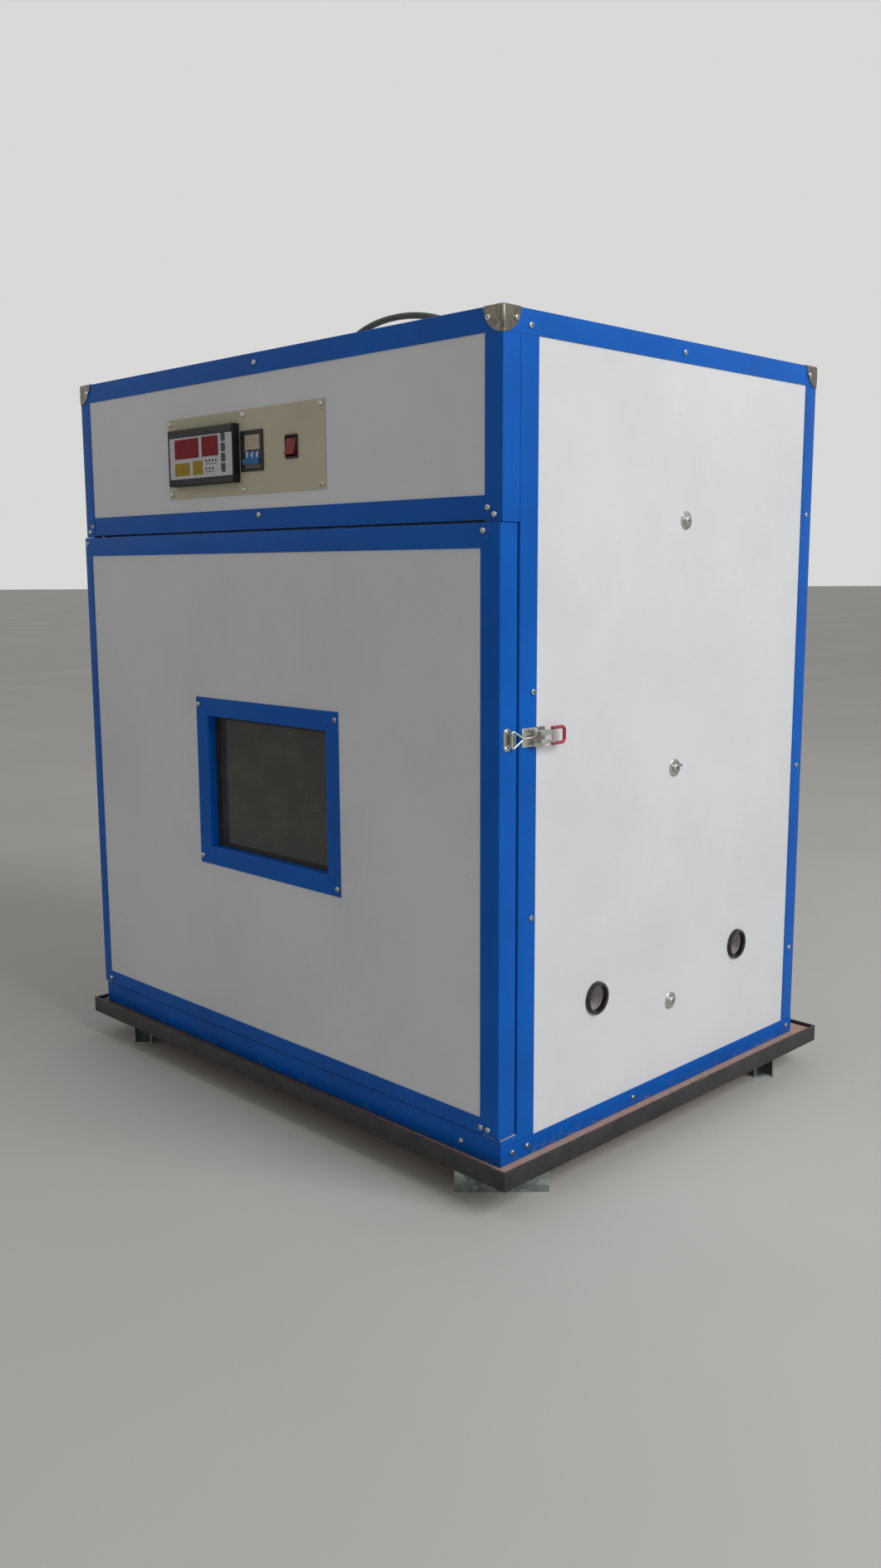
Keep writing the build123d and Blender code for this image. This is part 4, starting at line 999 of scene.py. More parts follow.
# Cabinet ----------------------------------------------------------------------------------------
@dataclass
class Cabinet:
    """The fixed box: white panels, blue edge strips, plated corners, ports and rack bolts."""

    face: float = 28 * MM
    side_post: float = 30 * MM
    left_post: float = 25 * MM
    sill: float = 34 * MM
    side_sill: float = 25 * MM
    top_shelf: float = 26 * MM
    foot_shelf: float = 20 * MM
    fascia_hang: float = 2.2 * MM
    fold: float = 1.6 * MM
    seam: float = 0.5 * MM
    raw_length: float = 30 * MM
    raw_seed: int = 9
    cap_reach: float = 31 * MM
    cap_fold: float = 3.0 * MM
    cap_ridge: float = 2.0 * MM
    port_bore: float = 16 * MM
    bolt_head: float = 12 * MM
    washer: float = 1.9 * MM
    pilot_aside: float = 16 * MM
    pilot_bore: float = 3 * MM

    def __post_init__(self) -> None:
        """Read the cabinet's faces from the frame."""
        low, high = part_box("cabinet_trim")
        self.bottom, self.top = low.z, high.z
        self.left, self.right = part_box("left_wall")[0].x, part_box("right_wall")[1].x
        self.front, self.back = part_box("roof_panel")[0].y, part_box("roof_panel")[1].y
        self.sheet = high.x - self.right
        self.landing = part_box("fascia_panel")[1].y
        self.fascia_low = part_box("fascia_panel")[0].z

    def build(self) -> None:
        """Make the cabinet's pieces."""
        dress(Kit.PANEL, "left_wall", "right_wall", "back_wall", "roof_panel", "fascia_panel", "floor_panel")
        dress(Kit.INSIDE, "door_frame_rails", "partition_panel")
        trims = self.ring(self.top, -1, [self.face] * 4, self.top_shelf)
        merge(trims, self.ring(self.bottom, 1, [self.sill] + [self.side_sill] * 3, self.foot_shelf))
        for strip in self.posts():
            merge(trims, strip)
        piece("blue_edge_strips", trims, "root", Kit.TRIM, ("cabinet_trim",))
        self.raw_edge()
        self.corner_caps()
        self.ports()
        self.rack_bolts()

    def ring(self, level: float, inward: int, heights: list[float], shelf: float) -> Mesh:
        """Make a mitred ring of four folded strips round the cabinet.

        Args:
            level: Height of the fold.
            inward: 1 where the upright legs go up from the fold, -1 where they go down.
            heights: Leg heights of the front, right, back and left strips.
            shelf: Width of the level legs.

        Returns:
            The ring as a new mesh.
        """
        out = self.sheet
        xs, ys = (self.left - out, self.right + out), (self.front - out, self.back + out)
        corners = [Vector((xs[i], ys[j], level)) for i, j in ((0, 0), (1, 0), (1, 1), (0, 1))]
        bm = bmesh.new()
        for side, height in enumerate(heights):
            start, end = corners[side], corners[(side + 1) % 4]
            along = (end - start).normalized()
            square = Vector((-along.y, along.x, 0))
            strip = folded_strip(start, end - start, (square * shelf, UP * inward * height), out, self.fold)
            cut(strip, start + along * self.seam / 4, square - along)
            cut(strip, end - along * self.seam / 4, square + along)
            merge(bm, strip)
        return bm

    def post(self, side: int, y: float, low: float, width: float, depth: float) -> Mesh:
        """Make one upright strip.

        Args:
            side: 1 on the latch side, -1 on the hinge side.
            y: Where its fold stands.
            low: Height of its foot.
            width: Its leg across the cabinet.
            depth: Its leg along the side, less than 0 towards the front.

        Returns:
            The strip as a new mesh.
        """
        corner = Vector((side * (self.right + self.sheet), y, low))
        return folded_strip(corner, UP * (self.top - self.face - self.seam - low),
                            (RIGHT * -side * width, BACK * depth), self.sheet, self.fold)

    def posts(self) -> list[Mesh]:
        """Make the upright strips, the fascia's lower strip and the sill's short returns.

        Returns:
            One mesh for each strip.
        """
        low, front = self.bottom + self.side_sill + self.seam, self.front - self.sheet
        strips = []
        for side, fascia in ((-1, self.left_post), (1, self.face)):
            # the first stands on the wall's front edge, which the door closes on
            strips += [self.post(side, self.landing, low, self.side_post, self.side_post + 1.2 * MM),
                       self.post(side, self.back + self.sheet, low, self.face, -self.face),
                       self.post(side, front, self.fascia_low - self.fascia_hang, fascia,
                                 self.landing - self.front + 0.4 * MM)]
        bars = [((self.left + self.left_post, front, self.fascia_low),
                 (self.right - self.face + 1 * MM, self.front, self.fascia_low + self.face))]
        bars += [((side * self.right, front, low), (side * (self.right + self.sheet), self.landing,
                                                    self.bottom + self.sill)) for side in (-1, 1)]
        return strips + [block(*corners, 0.3 * MM, 1) for corners in bars]

    def raw_edge(self) -> None:
        """Leave the sill's sheared sheet edge bare and ragged where the strips meet at the corner."""
        level = self.bottom + self.sill
        bm = block((self.right - self.raw_length, self.front - 0.6 * MM, level - 0.2 * MM),
                   (self.right + 0.6 * MM, self.front + 0.4 * MM, level + 1.2 * MM))
        bmesh.ops.subdivide_edges(bm, edges=[e for e in bm.edges if e.calc_length() > 20 * MM], cuts=14)
        chance = random.Random(self.raw_seed)
        for vert in bm.verts:
            if vert.co.z > level + 1 * MM:
                vert.co.z -= chance.uniform(0, 1.0) * MM
        piece("sill_raw_edge", bm, "root", Kit.PLATE_EDGE)

    def cap_shape(self) -> Mesh:
        """Make one pressed corner: three quarter discs that meet in rounded folds, a bead along one fold and
        a black line of painted shade beside it.

        Returns:
            The corner as a new mesh, its point at the origin and its discs towards -X, +Y and -Z.
        """
        reach, ridge = self.cap_reach, self.cap_ridge
        bm = bmesh.new()
        for start, axis in ((-RIGHT, -BACK), (BACK, -RIGHT), (-RIGHT, -UP)):
            points = [bm.verts.new((0, 0, 0)), bm.verts.new(start * reach)]
            bmesh.ops.spin(bm, geom=points + [bm.edges.new(points)], cent=(0, 0, 0), axis=axis,
                           angle=math.pi / 2, steps=9)
        bmesh.ops.remove_doubles(bm, verts=bm.verts[:], dist=MERGE_WITHIN)
        bmesh.ops.recalc_face_normals(bm, faces=bm.faces[:])
        soften(bm, sharp(bm, 60), self.cap_fold, 4)
        if sum(f.normal.z for f in bm.faces) < 0:
            bmesh.ops.reverse_faces(bm, faces=bm.faces[:])
        bmesh.ops.solidify(bm, geom=bm.faces[:], thickness=1.0 * MM)
        bmesh.ops.recalc_face_normals(bm, faces=bm.faces[:])
        bead = prism(20, ridge, reach * 0.82, Matrix.Translation((-ridge, ridge, -reach * 0.45)))
        soften(bead, sharp(bead, 60), 0.6 * MM, 2)
        merge(bm, bead)
        # painted shade: a thin black strip beside the bead, on the plated face, stands in for the shadow
        # along the fold
        start = len(bm.faces)
        shade_line_low, shade_line_high = (-4.6 * MM, -0.04 * MM, -reach * 0.93), (-3.7 * MM, 0.3 * MM, -3.5 * MM)
        merge(bm, block(shade_line_low, shade_line_high, 0.1 * MM, 1))
        bm.faces.ensure_lookup_table()
        for face in bm.faces[start:]:
            face.material_index = 1
        return bm

    def corner_caps(self) -> None:
        """Put a plated corner on each of the roof's corners."""
        low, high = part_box("corner_caps")
        bm = bmesh.new()
        for side, x in ((-1, low.x), (1, high.x)):
            for end, y in ((-1, low.y), (1, high.y)):
                unit = self.cap_shape()
                place = Matrix.Translation((x, y, high.z)) @ Matrix.Diagonal((side, -end, 1, 1))
                bmesh.ops.transform(unit, matrix=place, verts=unit.verts[:])
                bmesh.ops.recalc_face_normals(unit, faces=unit.faces[:])
                merge(bm, unit)
        # the black ABS finish here is the painted shade line beside each bead
        piece("nickel_corner_caps", bm, "root", Kit.CAP, ("corner_caps",), (Kit.CASE,))

    def on_wall(self, box: tuple[Vector, Vector], side: int = 1) -> Vector:
        """Return the point of a side wall's outer face that a box is centred on."""
        centre = middle(box)
        return Vector((side * self.right, centre.y, centre.z))

    def ports(self) -> None:
        """Make the two air ports: a glossy rolled lip outside and a grey sleeve inside."""
        rings, sleeves, bore = bmesh.new(), bmesh.new(), self.port_bore
        for low, high in islands("vent_rings"):
            rim, proud, deep = (high.z - low.z) / 2, high.x - self.right, self.right - low.x
            lip = [(0, rim), (0.45 * proud, rim - 0.1 * MM), (0.85 * proud, rim - 1.2 * MM),
                   (proud, rim - 3.2 * MM), (0.9 * proud, bore + 1.4 * MM), (0.45 * proud, bore + 0.3 * MM),
                   (-2 * MM, bore), (-2 * MM, bore + 2.6 * MM)]
            tube = [(-2 * MM, bore), (-4 * MM, bore + 0.1 * MM)]
            for step in range(1, 6):
                tube += [(-(4 * step + 2.6) * MM, bore + 0.1 * MM), (-(4 * step + 4) * MM, bore + 0.7 * MM)]
            tube += [(-deep, bore + 0.1 * MM), (-deep, bore + 2.6 * MM), (-2 * MM, bore + 2.6 * MM)]
            for bm, profile in ((rings, lip), (sleeves, tube)):
                merge(bm, turned(profile, RIGHT, self.on_wall((low, high)), steps=40))
        piece("air_port_lips", rings, "root", Kit.RING, ("vent_rings",))
        piece("air_port_sleeves", sleeves, "root", Kit.SLEEVE)

    def rack_bolts(self) -> None:
        """Make the six rack bolts, each on a wide washer, and the drilled pilot hole by the middle one, as a
        black burr and disc of painted shade.
        """
        bm, places, right_side = bmesh.new(), [], []
        for low, high in islands("rack_bolts"):
            side = 1 if low.x > 0 else -1
            foot, rim, out = self.on_wall((low, high), side), (high.y - low.y) / 2, RIGHT * side
            profile = [(0, 4 * MM), (0, rim), (0.6 * MM, rim), (1.4 * MM, rim - 0.8 * MM),
                       (self.washer, rim - 3 * MM), (self.washer, 4 * MM)]
            merge(bm, turned(profile, out, foot, steps=36))
            places.append((foot + out * self.washer, out))
            if side > 0:
                right_side.append(foot)
        merge(bm, Fasteners(seed=3).stand(places, self.bolt_head / Fasteners.head))
        piece("rack_bolts_and_washers", bm, "root", Kit.FITTING, ("rack_bolts",))
        bore, bolt = self.pilot_bore / 2, sorted(right_side, key=lambda foot: foot.z)[1]
        # painted shade: the hole's burr and a disc across its bore are black, standing in for the dark inside
        # of the hole
        burr_and_shade_disc = [(0, bore + 0.5 * MM), (0.25 * MM, bore + 0.15 * MM), (0.15 * MM, bore), (0.02 * MM, 0.1 * MM)]
        hole = turned(burr_and_shade_disc, RIGHT, bolt + Vector((0, self.pilot_aside, 2 * MM)), steps=16)
        piece("pilot_hole_painted_shade", hole, "root", Kit.RING)


# Control panel ----------------------------------------------------------------------------------
@dataclass
class ControlPanel:
    """The beige plate above the door, with the controller, the breaker and the rocker switch.

    Boxes of windows and prints are left, right, low and high edges in millimetres, from the upper
    left corner of the controller or from the middle of a breaker pole's upper edge.
    """

    label: tuple[float, float, float, float] = (6.4 * MM, 158.2 * MM, -70 * MM, -12 * MM)
    red_windows: tuple = ((19.4, 79.0, -42.0, -14.5), (86.7, 126.0, -41.5, -14.0))
    amber_windows: tuple = ((19.0, 56.0, -65.6, -48.0), (64.0, 88.0, -65.6, -46.5))
    lamps: tuple = ((96.8, 120.1, 4, -47.7), (96.9, 113.0, 3, -58.6))
    lamp: float = 1.7 * MM
    film: float = 0.35 * MM
    window: float = 0.5 * MM
    pole_marks: tuple = ((-4.6, 4.2, -8.0, -6.6), (-4.6, -1.0, -3.6, -3.0))
    pole_dots: tuple = (-11.0, -13.6, -16.2)
    cap_spacing: float = 11.5 * MM
    cap_radii: tuple[float, float] = (7.7 * MM, 8.3 * MM)
    cap_half_width: float = 1.6 * MM

    def build(self) -> None:
        """Make the control panel's pieces."""
        plate = frame_copy("control_plate", 0.3 * MM)
        for face in plate.faces:
            face.material_index = 0 if abs(face.normal.y) > 0.5 else 1
        piece("beige_control_plate", plate, "root", Kit.PLATE, ("control_plate",), (Kit.PLATE_EDGE,))
        self.controller()
        self.keys()
        self.breaker()
        rounded("rocker_shell", "rocker_bezel", "root", Kit.CASE, 0.5 * MM, 2)
        rounded("rocker_key_cap", "rocker_key", "rocker_key", Kit.ROCKER, 0.7 * MM, 2, 15)

    @staticmethod
    def bar(bm: Mesh, corner: Vector, box: tuple, proud: float = 0.1, sunk: float = 0.1) -> None:
        """Add a flat printed bar.

        Args:
            bm: The mesh that it joins.
            corner: The point of the printed face that its box is measured from.
            box: Its left, right, low and high edges, in millimetres.
            proud: How far it stands out, in millimetres.
            sunk: How far it reaches in, in millimetres.
        """
        left, right, low, high = (edge * MM for edge in box)
        merge(bm, block(corner + Vector((left, -proud * MM, low)), corner + Vector((right, sunk * MM, high))))

    def controller(self) -> None:
        """Make the case and the printed face with its windows and lamps."""
        rounded("controller_case_body", "controller_case", "root", Kit.CASE, 0.5 * MM, 1, 50)
        low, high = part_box("controller_case")
        left, right, down, up = self.label
        corner = Vector((low.x, low.y - self.film, high.z))
        film = rounded_plate((low.x + left, corner.y, high.z + down),
                             (low.x + right, low.y + 0.2 * MM, high.z + up), 1, 1.5 * MM)
        piece("controller_label", film, "root", Kit.LABEL)
        for name, finish, windows in (("red_displays", Kit.RED_WINDOW, self.red_windows),
                                      ("amber_displays", Kit.AMBER_WINDOW, self.amber_windows)):
            bm = bmesh.new()
            for box in windows:
                x_low, x_high, z_low, z_high = (edge * MM for edge in box)
                merge(bm, rounded_plate(corner + Vector((x_low, -self.window, z_low)),
                                        corner + Vector((x_high, 0.1 * MM, z_high)), 1, 1 * MM, 0.2 * MM, 3))
            piece(name, bm, "root", finish)
        bm = bmesh.new()
        lens = [(0, self.lamp), (0.4 * MM, self.lamp), (0.7 * MM, self.lamp / 1.5), (0.8 * MM, 0.1 * MM)]
        for first, last, count, height in self.lamps:
            for number in range(count):
                across = first + (last - first) * number / (count - 1)
                merge(bm, turned(lens, -BACK, corner + Vector((across, 0, height)) * MM, steps=14))
            self.bar(bm, corner, (first - 1, last + 1, height - 4.6, height - 3.8), 0.12, 0.05)
        piece("indicator_lamps", bm, "root", Kit.MARK)

    def keys(self) -> None:
        """Make the four keys, each a domed cap with a finger dish, which ride on their own bodies."""
        for number in range(1, 5):
            node = f"controller_button_{number}"
            bm = rounded_plate(*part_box(node), 1, 1.2 * MM, 0.4 * MM, 3)
            front = min(bm.faces, key=lambda f: f.calc_center_median().y)
            bmesh.ops.inset_individual(bm, faces=[front], thickness=1.2 * MM, depth=-0.25 * MM)
            piece(f"key_cap_{number}", bm, f"button_{number}", Kit.KEY, (node,))

    def breaker(self) -> None:
        """Make the breaker: surround, beige face with printed marks, blue bar and white pole caps."""
        rounded("breaker_surround", "breaker_bezel", "root", Kit.CASE, 0.5 * MM, 2)
        rounded("breaker_face", "breaker_body", "root", Kit.BREAKER, 0.3 * MM)
        low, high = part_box("breaker_body")
        pole_width = (high.x - low.x) / 3
        marks, lines = bmesh.new(), bmesh.new()
        for pole in range(3):
            top = Vector((low.x + pole_width * (pole + 0.5), low.y, high.z))
            for box in self.pole_marks:
                self.bar(marks, top, box)
            for level in self.pole_dots:
                self.bar(lines, top, (-1.0, 1.2, level - 0.5, level + 0.5))
            if pole:
                self.bar(lines, top - RIGHT * pole_width / 2, (-0.25, 0.25, -17.0, -0.6), 0.08)
        piece("breaker_printed_bars", marks, "root", Kit.BREAKER_MARK)
        piece("breaker_pole_lines", lines, "root", Kit.MARK)
        rounded("breaker_toggle_bar", "breaker_toggle", "breaker_toggle", Kit.TOGGLE, 0.35 * MM, 1, 50)
        axis = Vector(next(j for j in frame["joints"] if j["child"] == "breaker_toggle")["pos_m"])
        axis.x = middle(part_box("breaker_toggle")).x
        caps = bmesh.new()
        for pole in (-1, 0, 1):
            merge(caps, self.pole_cap(axis + RIGHT * pole * self.cap_spacing))
        piece("breaker_pole_caps", caps, "breaker_toggle", Kit.RIB)

    def pole_cap(self, centre: Vector) -> Mesh:
        """Make one curved white pole cap round the toggle's axis.

        Args:
            centre: The axis at the cap's middle.

        Returns:
            The cap as a new mesh.
        """
        inner, outer = self.cap_radii
        half = self.cap_half_width
        start = Vector((0, -math.sin(math.radians(15)), -math.cos(math.radians(75)))).normalized()
        bm = bmesh.new()
        points = [bm.verts.new(centre + RIGHT * x + start * radius)
                  for x, radius in ((-half, inner), (half, inner), (half, outer), (-half, outer))]
        face = bm.faces.new(points)
        bmesh.ops.spin(bm, geom=[face] + list(face.edges) + points, cent=centre, axis=-RIGHT,
                       angle=math.radians(95), steps=10)
        bmesh.ops.remove_doubles(bm, verts=bm.verts[:], dist=1e-7)
        bmesh.ops.holes_fill(bm, edges=[e for e in bm.edges if e.is_boundary], sides=0)
        bmesh.ops.recalc_face_normals(bm, faces=bm.faces[:])
        return bm


# Door -------------------------------------------------------------------------------------------
@dataclass
class Door:
    """The insulated door: panel, folded strips, window, seal, hinges and the latch's strike."""

    widths: tuple[float, float, float, float] = (21 * MM, 31 * MM, 29 * MM, 19.5 * MM)
    fold: float = 1.6 * MM
    window_fold: float = 2.2 * MM
    seam: float = 0.35 * MM
    seal_width: float = 12 * MM
    hinge_screws: tuple[float, float, float] = (0.14, 0.5, 0.86)
    hinge_edge: float = 9 * MM
    strike_corner: float = 6 * MM
    strike_sheet: float = 1.2 * MM
    strike_hook: float = 7 * MM

    def build(self) -> None:
        """Make the door's pieces."""
        dress(Kit.PANEL, "door_panel")
        dress(Kit.GLASS, "window_glass")
        self.edge_strips()
        self.window_frame()
        rounded("window_rubber", "window_gasket", "door", Kit.RUBBER, 0.5 * MM, 2)
        self.seal()
        self.hinges()
        self.strike()

    def edge_strips(self) -> None:
        """Fold four mitred strips over the door's edges."""
        low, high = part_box("door_trim")
        sheet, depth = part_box("door_panel")[0].x - low.x, BACK * (high.y - low.y)
        bm = bmesh.new()
        for side, (start, end, along) in enumerate(around(low, high)):
            before, width, after = (self.widths[(side + turn) % 4] for turn in (-1, 0, 1))
            square = Vector((-along.z, 0, along.x))
            strip = folded_strip(start, end - start, (square * width, depth), sheet, self.fold)
            cut(strip, start + along * self.seam / 2, square * before - along * width)
            cut(strip, end - along * self.seam / 2, square * after + along * width)
            merge(bm, strip)
        piece("door_edge_strips", bm, "door", Kit.TRIM, ("door_trim",))

    def window_frame(self) -> None:
        """Fold four mitred strips round the window, each with a flange and a reveal."""
        low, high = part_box("window_trim")
        pane_low, pane_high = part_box("window_glass")
        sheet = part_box("door_panel")[0].y - low.y
        hole_low, hole_high = pane_low + Vector((sheet, 0, sheet)), pane_high - Vector((sheet, 0, sheet))
        flange, depth = hole_low.x - low.x, BACK * (high.y - low.y)
        hole_low.y = low.y
        bm = bmesh.new()
        for start, end, along in around(hole_low, hole_high):
            outward = Vector((along.z, 0, -along.x))
            strip = folded_strip(start - along * flange, end - start + along * 2 * flange,
                                 (outward * flange, depth), sheet, self.window_fold)
            cut(strip, start + along * self.seam, -along - outward)
            cut(strip, end - along * self.seam, along - outward)
            merge(bm, strip)
        piece("window_frame_strips", bm, "door", Kit.TRIM, ("window_trim",))

    def seal(self) -> None:
        """Make the door's rubber seal: a flat foot with a soft bulb along it."""
        low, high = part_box("door_seal")
        width, deep = self.seal_width, high.y - low.y
        profile = [(0, 0), (width, 0), (width, 1.2 * MM), (0.72 * width, 1.6 * MM),
                   (0.66 * width, 0.8 * deep), (0.5 * width, deep), (0.34 * width, 0.8 * deep),
                   (0.28 * width, 1.6 * MM), (0, 1.2 * MM)]
        bm = bmesh.new()
        for start, end, along in around(low, high):
            square = Vector((-along.z, 0, along.x))
            strip = extruded([start + square * across + BACK * out for across, out in profile], end - start)
            cut(strip, start, square - along)
            cut(strip, end, square + along)
            merge(bm, strip)
        piece("door_bulb_seal", bm, "door", Kit.RUBBER, ("door_seal",))

    def hinges(self) -> None:
        """Round the hinge leaves and add their screws."""
        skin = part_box("door_trim")[0].x - 2 * MM
        for node, body in (("hinge_fixed_leaves", "root"), ("hinge_door_leaves", "door")):
            rounded(f"{node}_rounded", node, body, Kit.FITTING, 0.3 * MM, 1, 50)
            places = []
            for low, high in islands(node):
                y = low.y + self.hinge_edge if body == "door" else high.y - self.hinge_edge
                places += [(Vector((skin, y, low.z + (high.z - low.z) * share)), -RIGHT)
                           for share in self.hinge_screws]
            heads = Fasteners(seed=11, rise=1.2 * MM, sink=0.9 * MM).stand(places, 0.9)
            piece(f"{node}_screws", heads, body, Kit.SCREW)

    def strike(self) -> None:
        """Make the latch's strike: a rounded plate with a turned-up hook and two rivets."""
        low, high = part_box("latch_strike")
        sheet, hook, level = self.strike_sheet, self.strike_hook, (low.z + high.z) / 2
        bm = rounded_plate(low, (low.x + sheet, high.y, high.z), 0, self.strike_corner, 0.25 * MM)
        merge(bm, rounded_plate((low.x, high.y - sheet, level - hook), (high.x, high.y, level + hook), 1,
                                2.5 * MM, 0.25 * MM))
        rivet = [(0, 2.8 * MM), (0.5 * MM, 2.7 * MM), (1.1 * MM, 1.9 * MM), (1.3 * MM, 0.8 * MM),
                 (1.3 * MM, 0.05 * MM)]
        for side in (-1, 1):
            centre = Vector((low.x + sheet, low.y + 4.7 * MM, level + side * 10.2 * MM))
            merge(bm, turned(rivet, RIGHT, centre, steps=20))
        piece("latch_strike_plate", bm, "door", Kit.FITTING, ("latch_strike",))


# Draw latch -------------------------------------------------------------------------------------
@dataclass
class DrawLatch:
    """The draw latch on the cabinet's side: base, lever with a dipped grip, and a wire bail."""

    flange: float = 11.4 * MM
    rib: float = 1.5 * MM
    rib_length: float = 12 * MM
    rib_end: float = 3 * MM
    rib_aside: float = 4.6 * MM

    def build(self) -> None:
        """Make the latch's pieces."""
        base = frame_copy("latch_base")
        level = middle(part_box("latch_base")).z
        for vert in base.verts:
            aside = vert.co.z - level
            if abs(aside) > self.flange:
                vert.co.z = level + math.copysign(self.flange, aside)
        soften(base, sharp(base, 50), 0.3 * MM, 2)
        piece("latch_base_pressing", base, "root", Kit.FITTING, ("latch_base",))
        lever = frame_copy("latch_lever", 0.35 * MM, 2, 50)
        low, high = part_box("latch_lever")
        end = high.y - self.rib_end
        for side in (-1, 1):
            z = (low.z + high.z) / 2 + side * self.rib_aside
            merge(lever, block((high.x - 0.6 * MM, end - self.rib_length, z - self.rib / 2),
                               (high.x + 0.5 * MM, end, z + self.rib / 2), 0.5 * MM))
        piece("latch_lever_pressing", lever, "latch_lever", Kit.FITTING, ("latch_lever",))
        rounded("latch_dipped_grip", "latch_grip", "latch_lever", Kit.GRIP)
        rounded("latch_wire_bail", "latch_bail", "latch_bail", Kit.WIRE)


# Egg rack ---------------------------------------------------------------------------------------
@dataclass
class EggRack:
    """The turning rack: uprights, three tilting carriers with egg trays, the link and the gears."""

    edge: float = 0.4 * MM

    def build(self) -> None:
        """Make the rack's pieces."""
        rounded("rack_upright_tubes", "rack_uprights", "root", Kit.RACK, self.edge, 2)
        for number in (1, 2, 3):
            rounded(f"carrier_frame_{number}", f"tray_carrier_{number}", f"carrier_{number}", Kit.RACK,
                    self.edge, 1, 50)
            dress(Kit.EGG_TRAY, f"egg_tray_{number}")
        rounded("rack_link_bar", "rack_link", "rack_link", Kit.RACK, self.edge)
        dress(Kit.GEAR, "turner_sector", "turner_pinion")
        rounded("turner_gearmotor", "turner_motor", "root", Kit.MOTOR, self.edge, 1, 50)


# Air, heat and water ----------------------------------------------------------------------------
@dataclass
class AirAndHeat:
    """The fan and its motor on the back wall, the heater tube under them and the water pan."""

    nut: float = 8 * MM
    nut_height: float = 5 * MM
    tube: float = 5.5 * MM

    def build(self) -> None:
        """Make the pieces that warm, stir and wet the air."""
        rounded("fan_rotor_blades", "fan_blades", "fan_rotor", Kit.FAN, 0.3 * MM, 1, 50)
        rounded("fan_motor_housing", "fan_motor", "root", Kit.MOTOR, 0.5 * MM, 1, 50)
        heater = frame_copy("heater")
        low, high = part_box("heater")
        for x in (low.x + self.tube, high.x - self.tube):
            for z in (low.z + self.tube, high.z - self.tube):
                place = Matrix.Translation((x, high.y - 2.6 * MM, z)) @ Matrix.Rotation(math.pi / 2, 4, "X")
                nut = prism(6, self.nut, self.nut_height, place)
                soften(nut, sharp(nut, 45), 0.5 * MM, 1)
                merge(heater, nut)
        piece("heater_tube_and_nuts", heater, "root", Kit.HEATER, ("heater",))
        rounded("water_pan_pressed", "water_pan", "root", Kit.PAN, 0.5 * MM, 2)


# Base tray --------------------------------------------------------------------------------------
@dataclass
class BaseTray:
    """The welded angle-bar tray with its board and four open channel feet."""

    bead: float = 2.2 * MM
    inset: float = 1.6 * MM
    ripples: int = 9
    seed: int = 5

    def build(self) -> None:
        """Make the base's pieces, with a rippled weld bead up each corner, just inside its faces."""
        rounded("angle_bar_frame", "base_frame", "root", Kit.TRAY, 0.7 * MM, 2)
        rounded("base_board_sheet", "base_board", "root", Kit.BOARD, 0.6 * MM, 1)
        rounded("channel_feet", "base_feet", "root", Kit.FOOT, 0.6 * MM, 2)
        low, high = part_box("base_frame")
        chance = random.Random(self.seed)
        bm = bmesh.new()
        for x in (low.x + self.inset, high.x - self.inset):
            for y in (low.y + self.inset, high.y - self.inset):
                for step in range(self.ripples):
                    z = low.z + (high.z - low.z) * (step + 0.5) / self.ripples
                    ball, size = bmesh.new(), self.bead * chance.uniform(0.8, 1.05)
                    place = Matrix.Translation((x, y, z)) @ Matrix.Diagonal((1, 1, 0.8, 1))
                    bmesh.ops.create_icosphere(ball, subdivisions=2, radius=size, matrix=place)
                    merge(bm, ball)
        piece("corner_weld_beads", bm, "root", Kit.WELD)


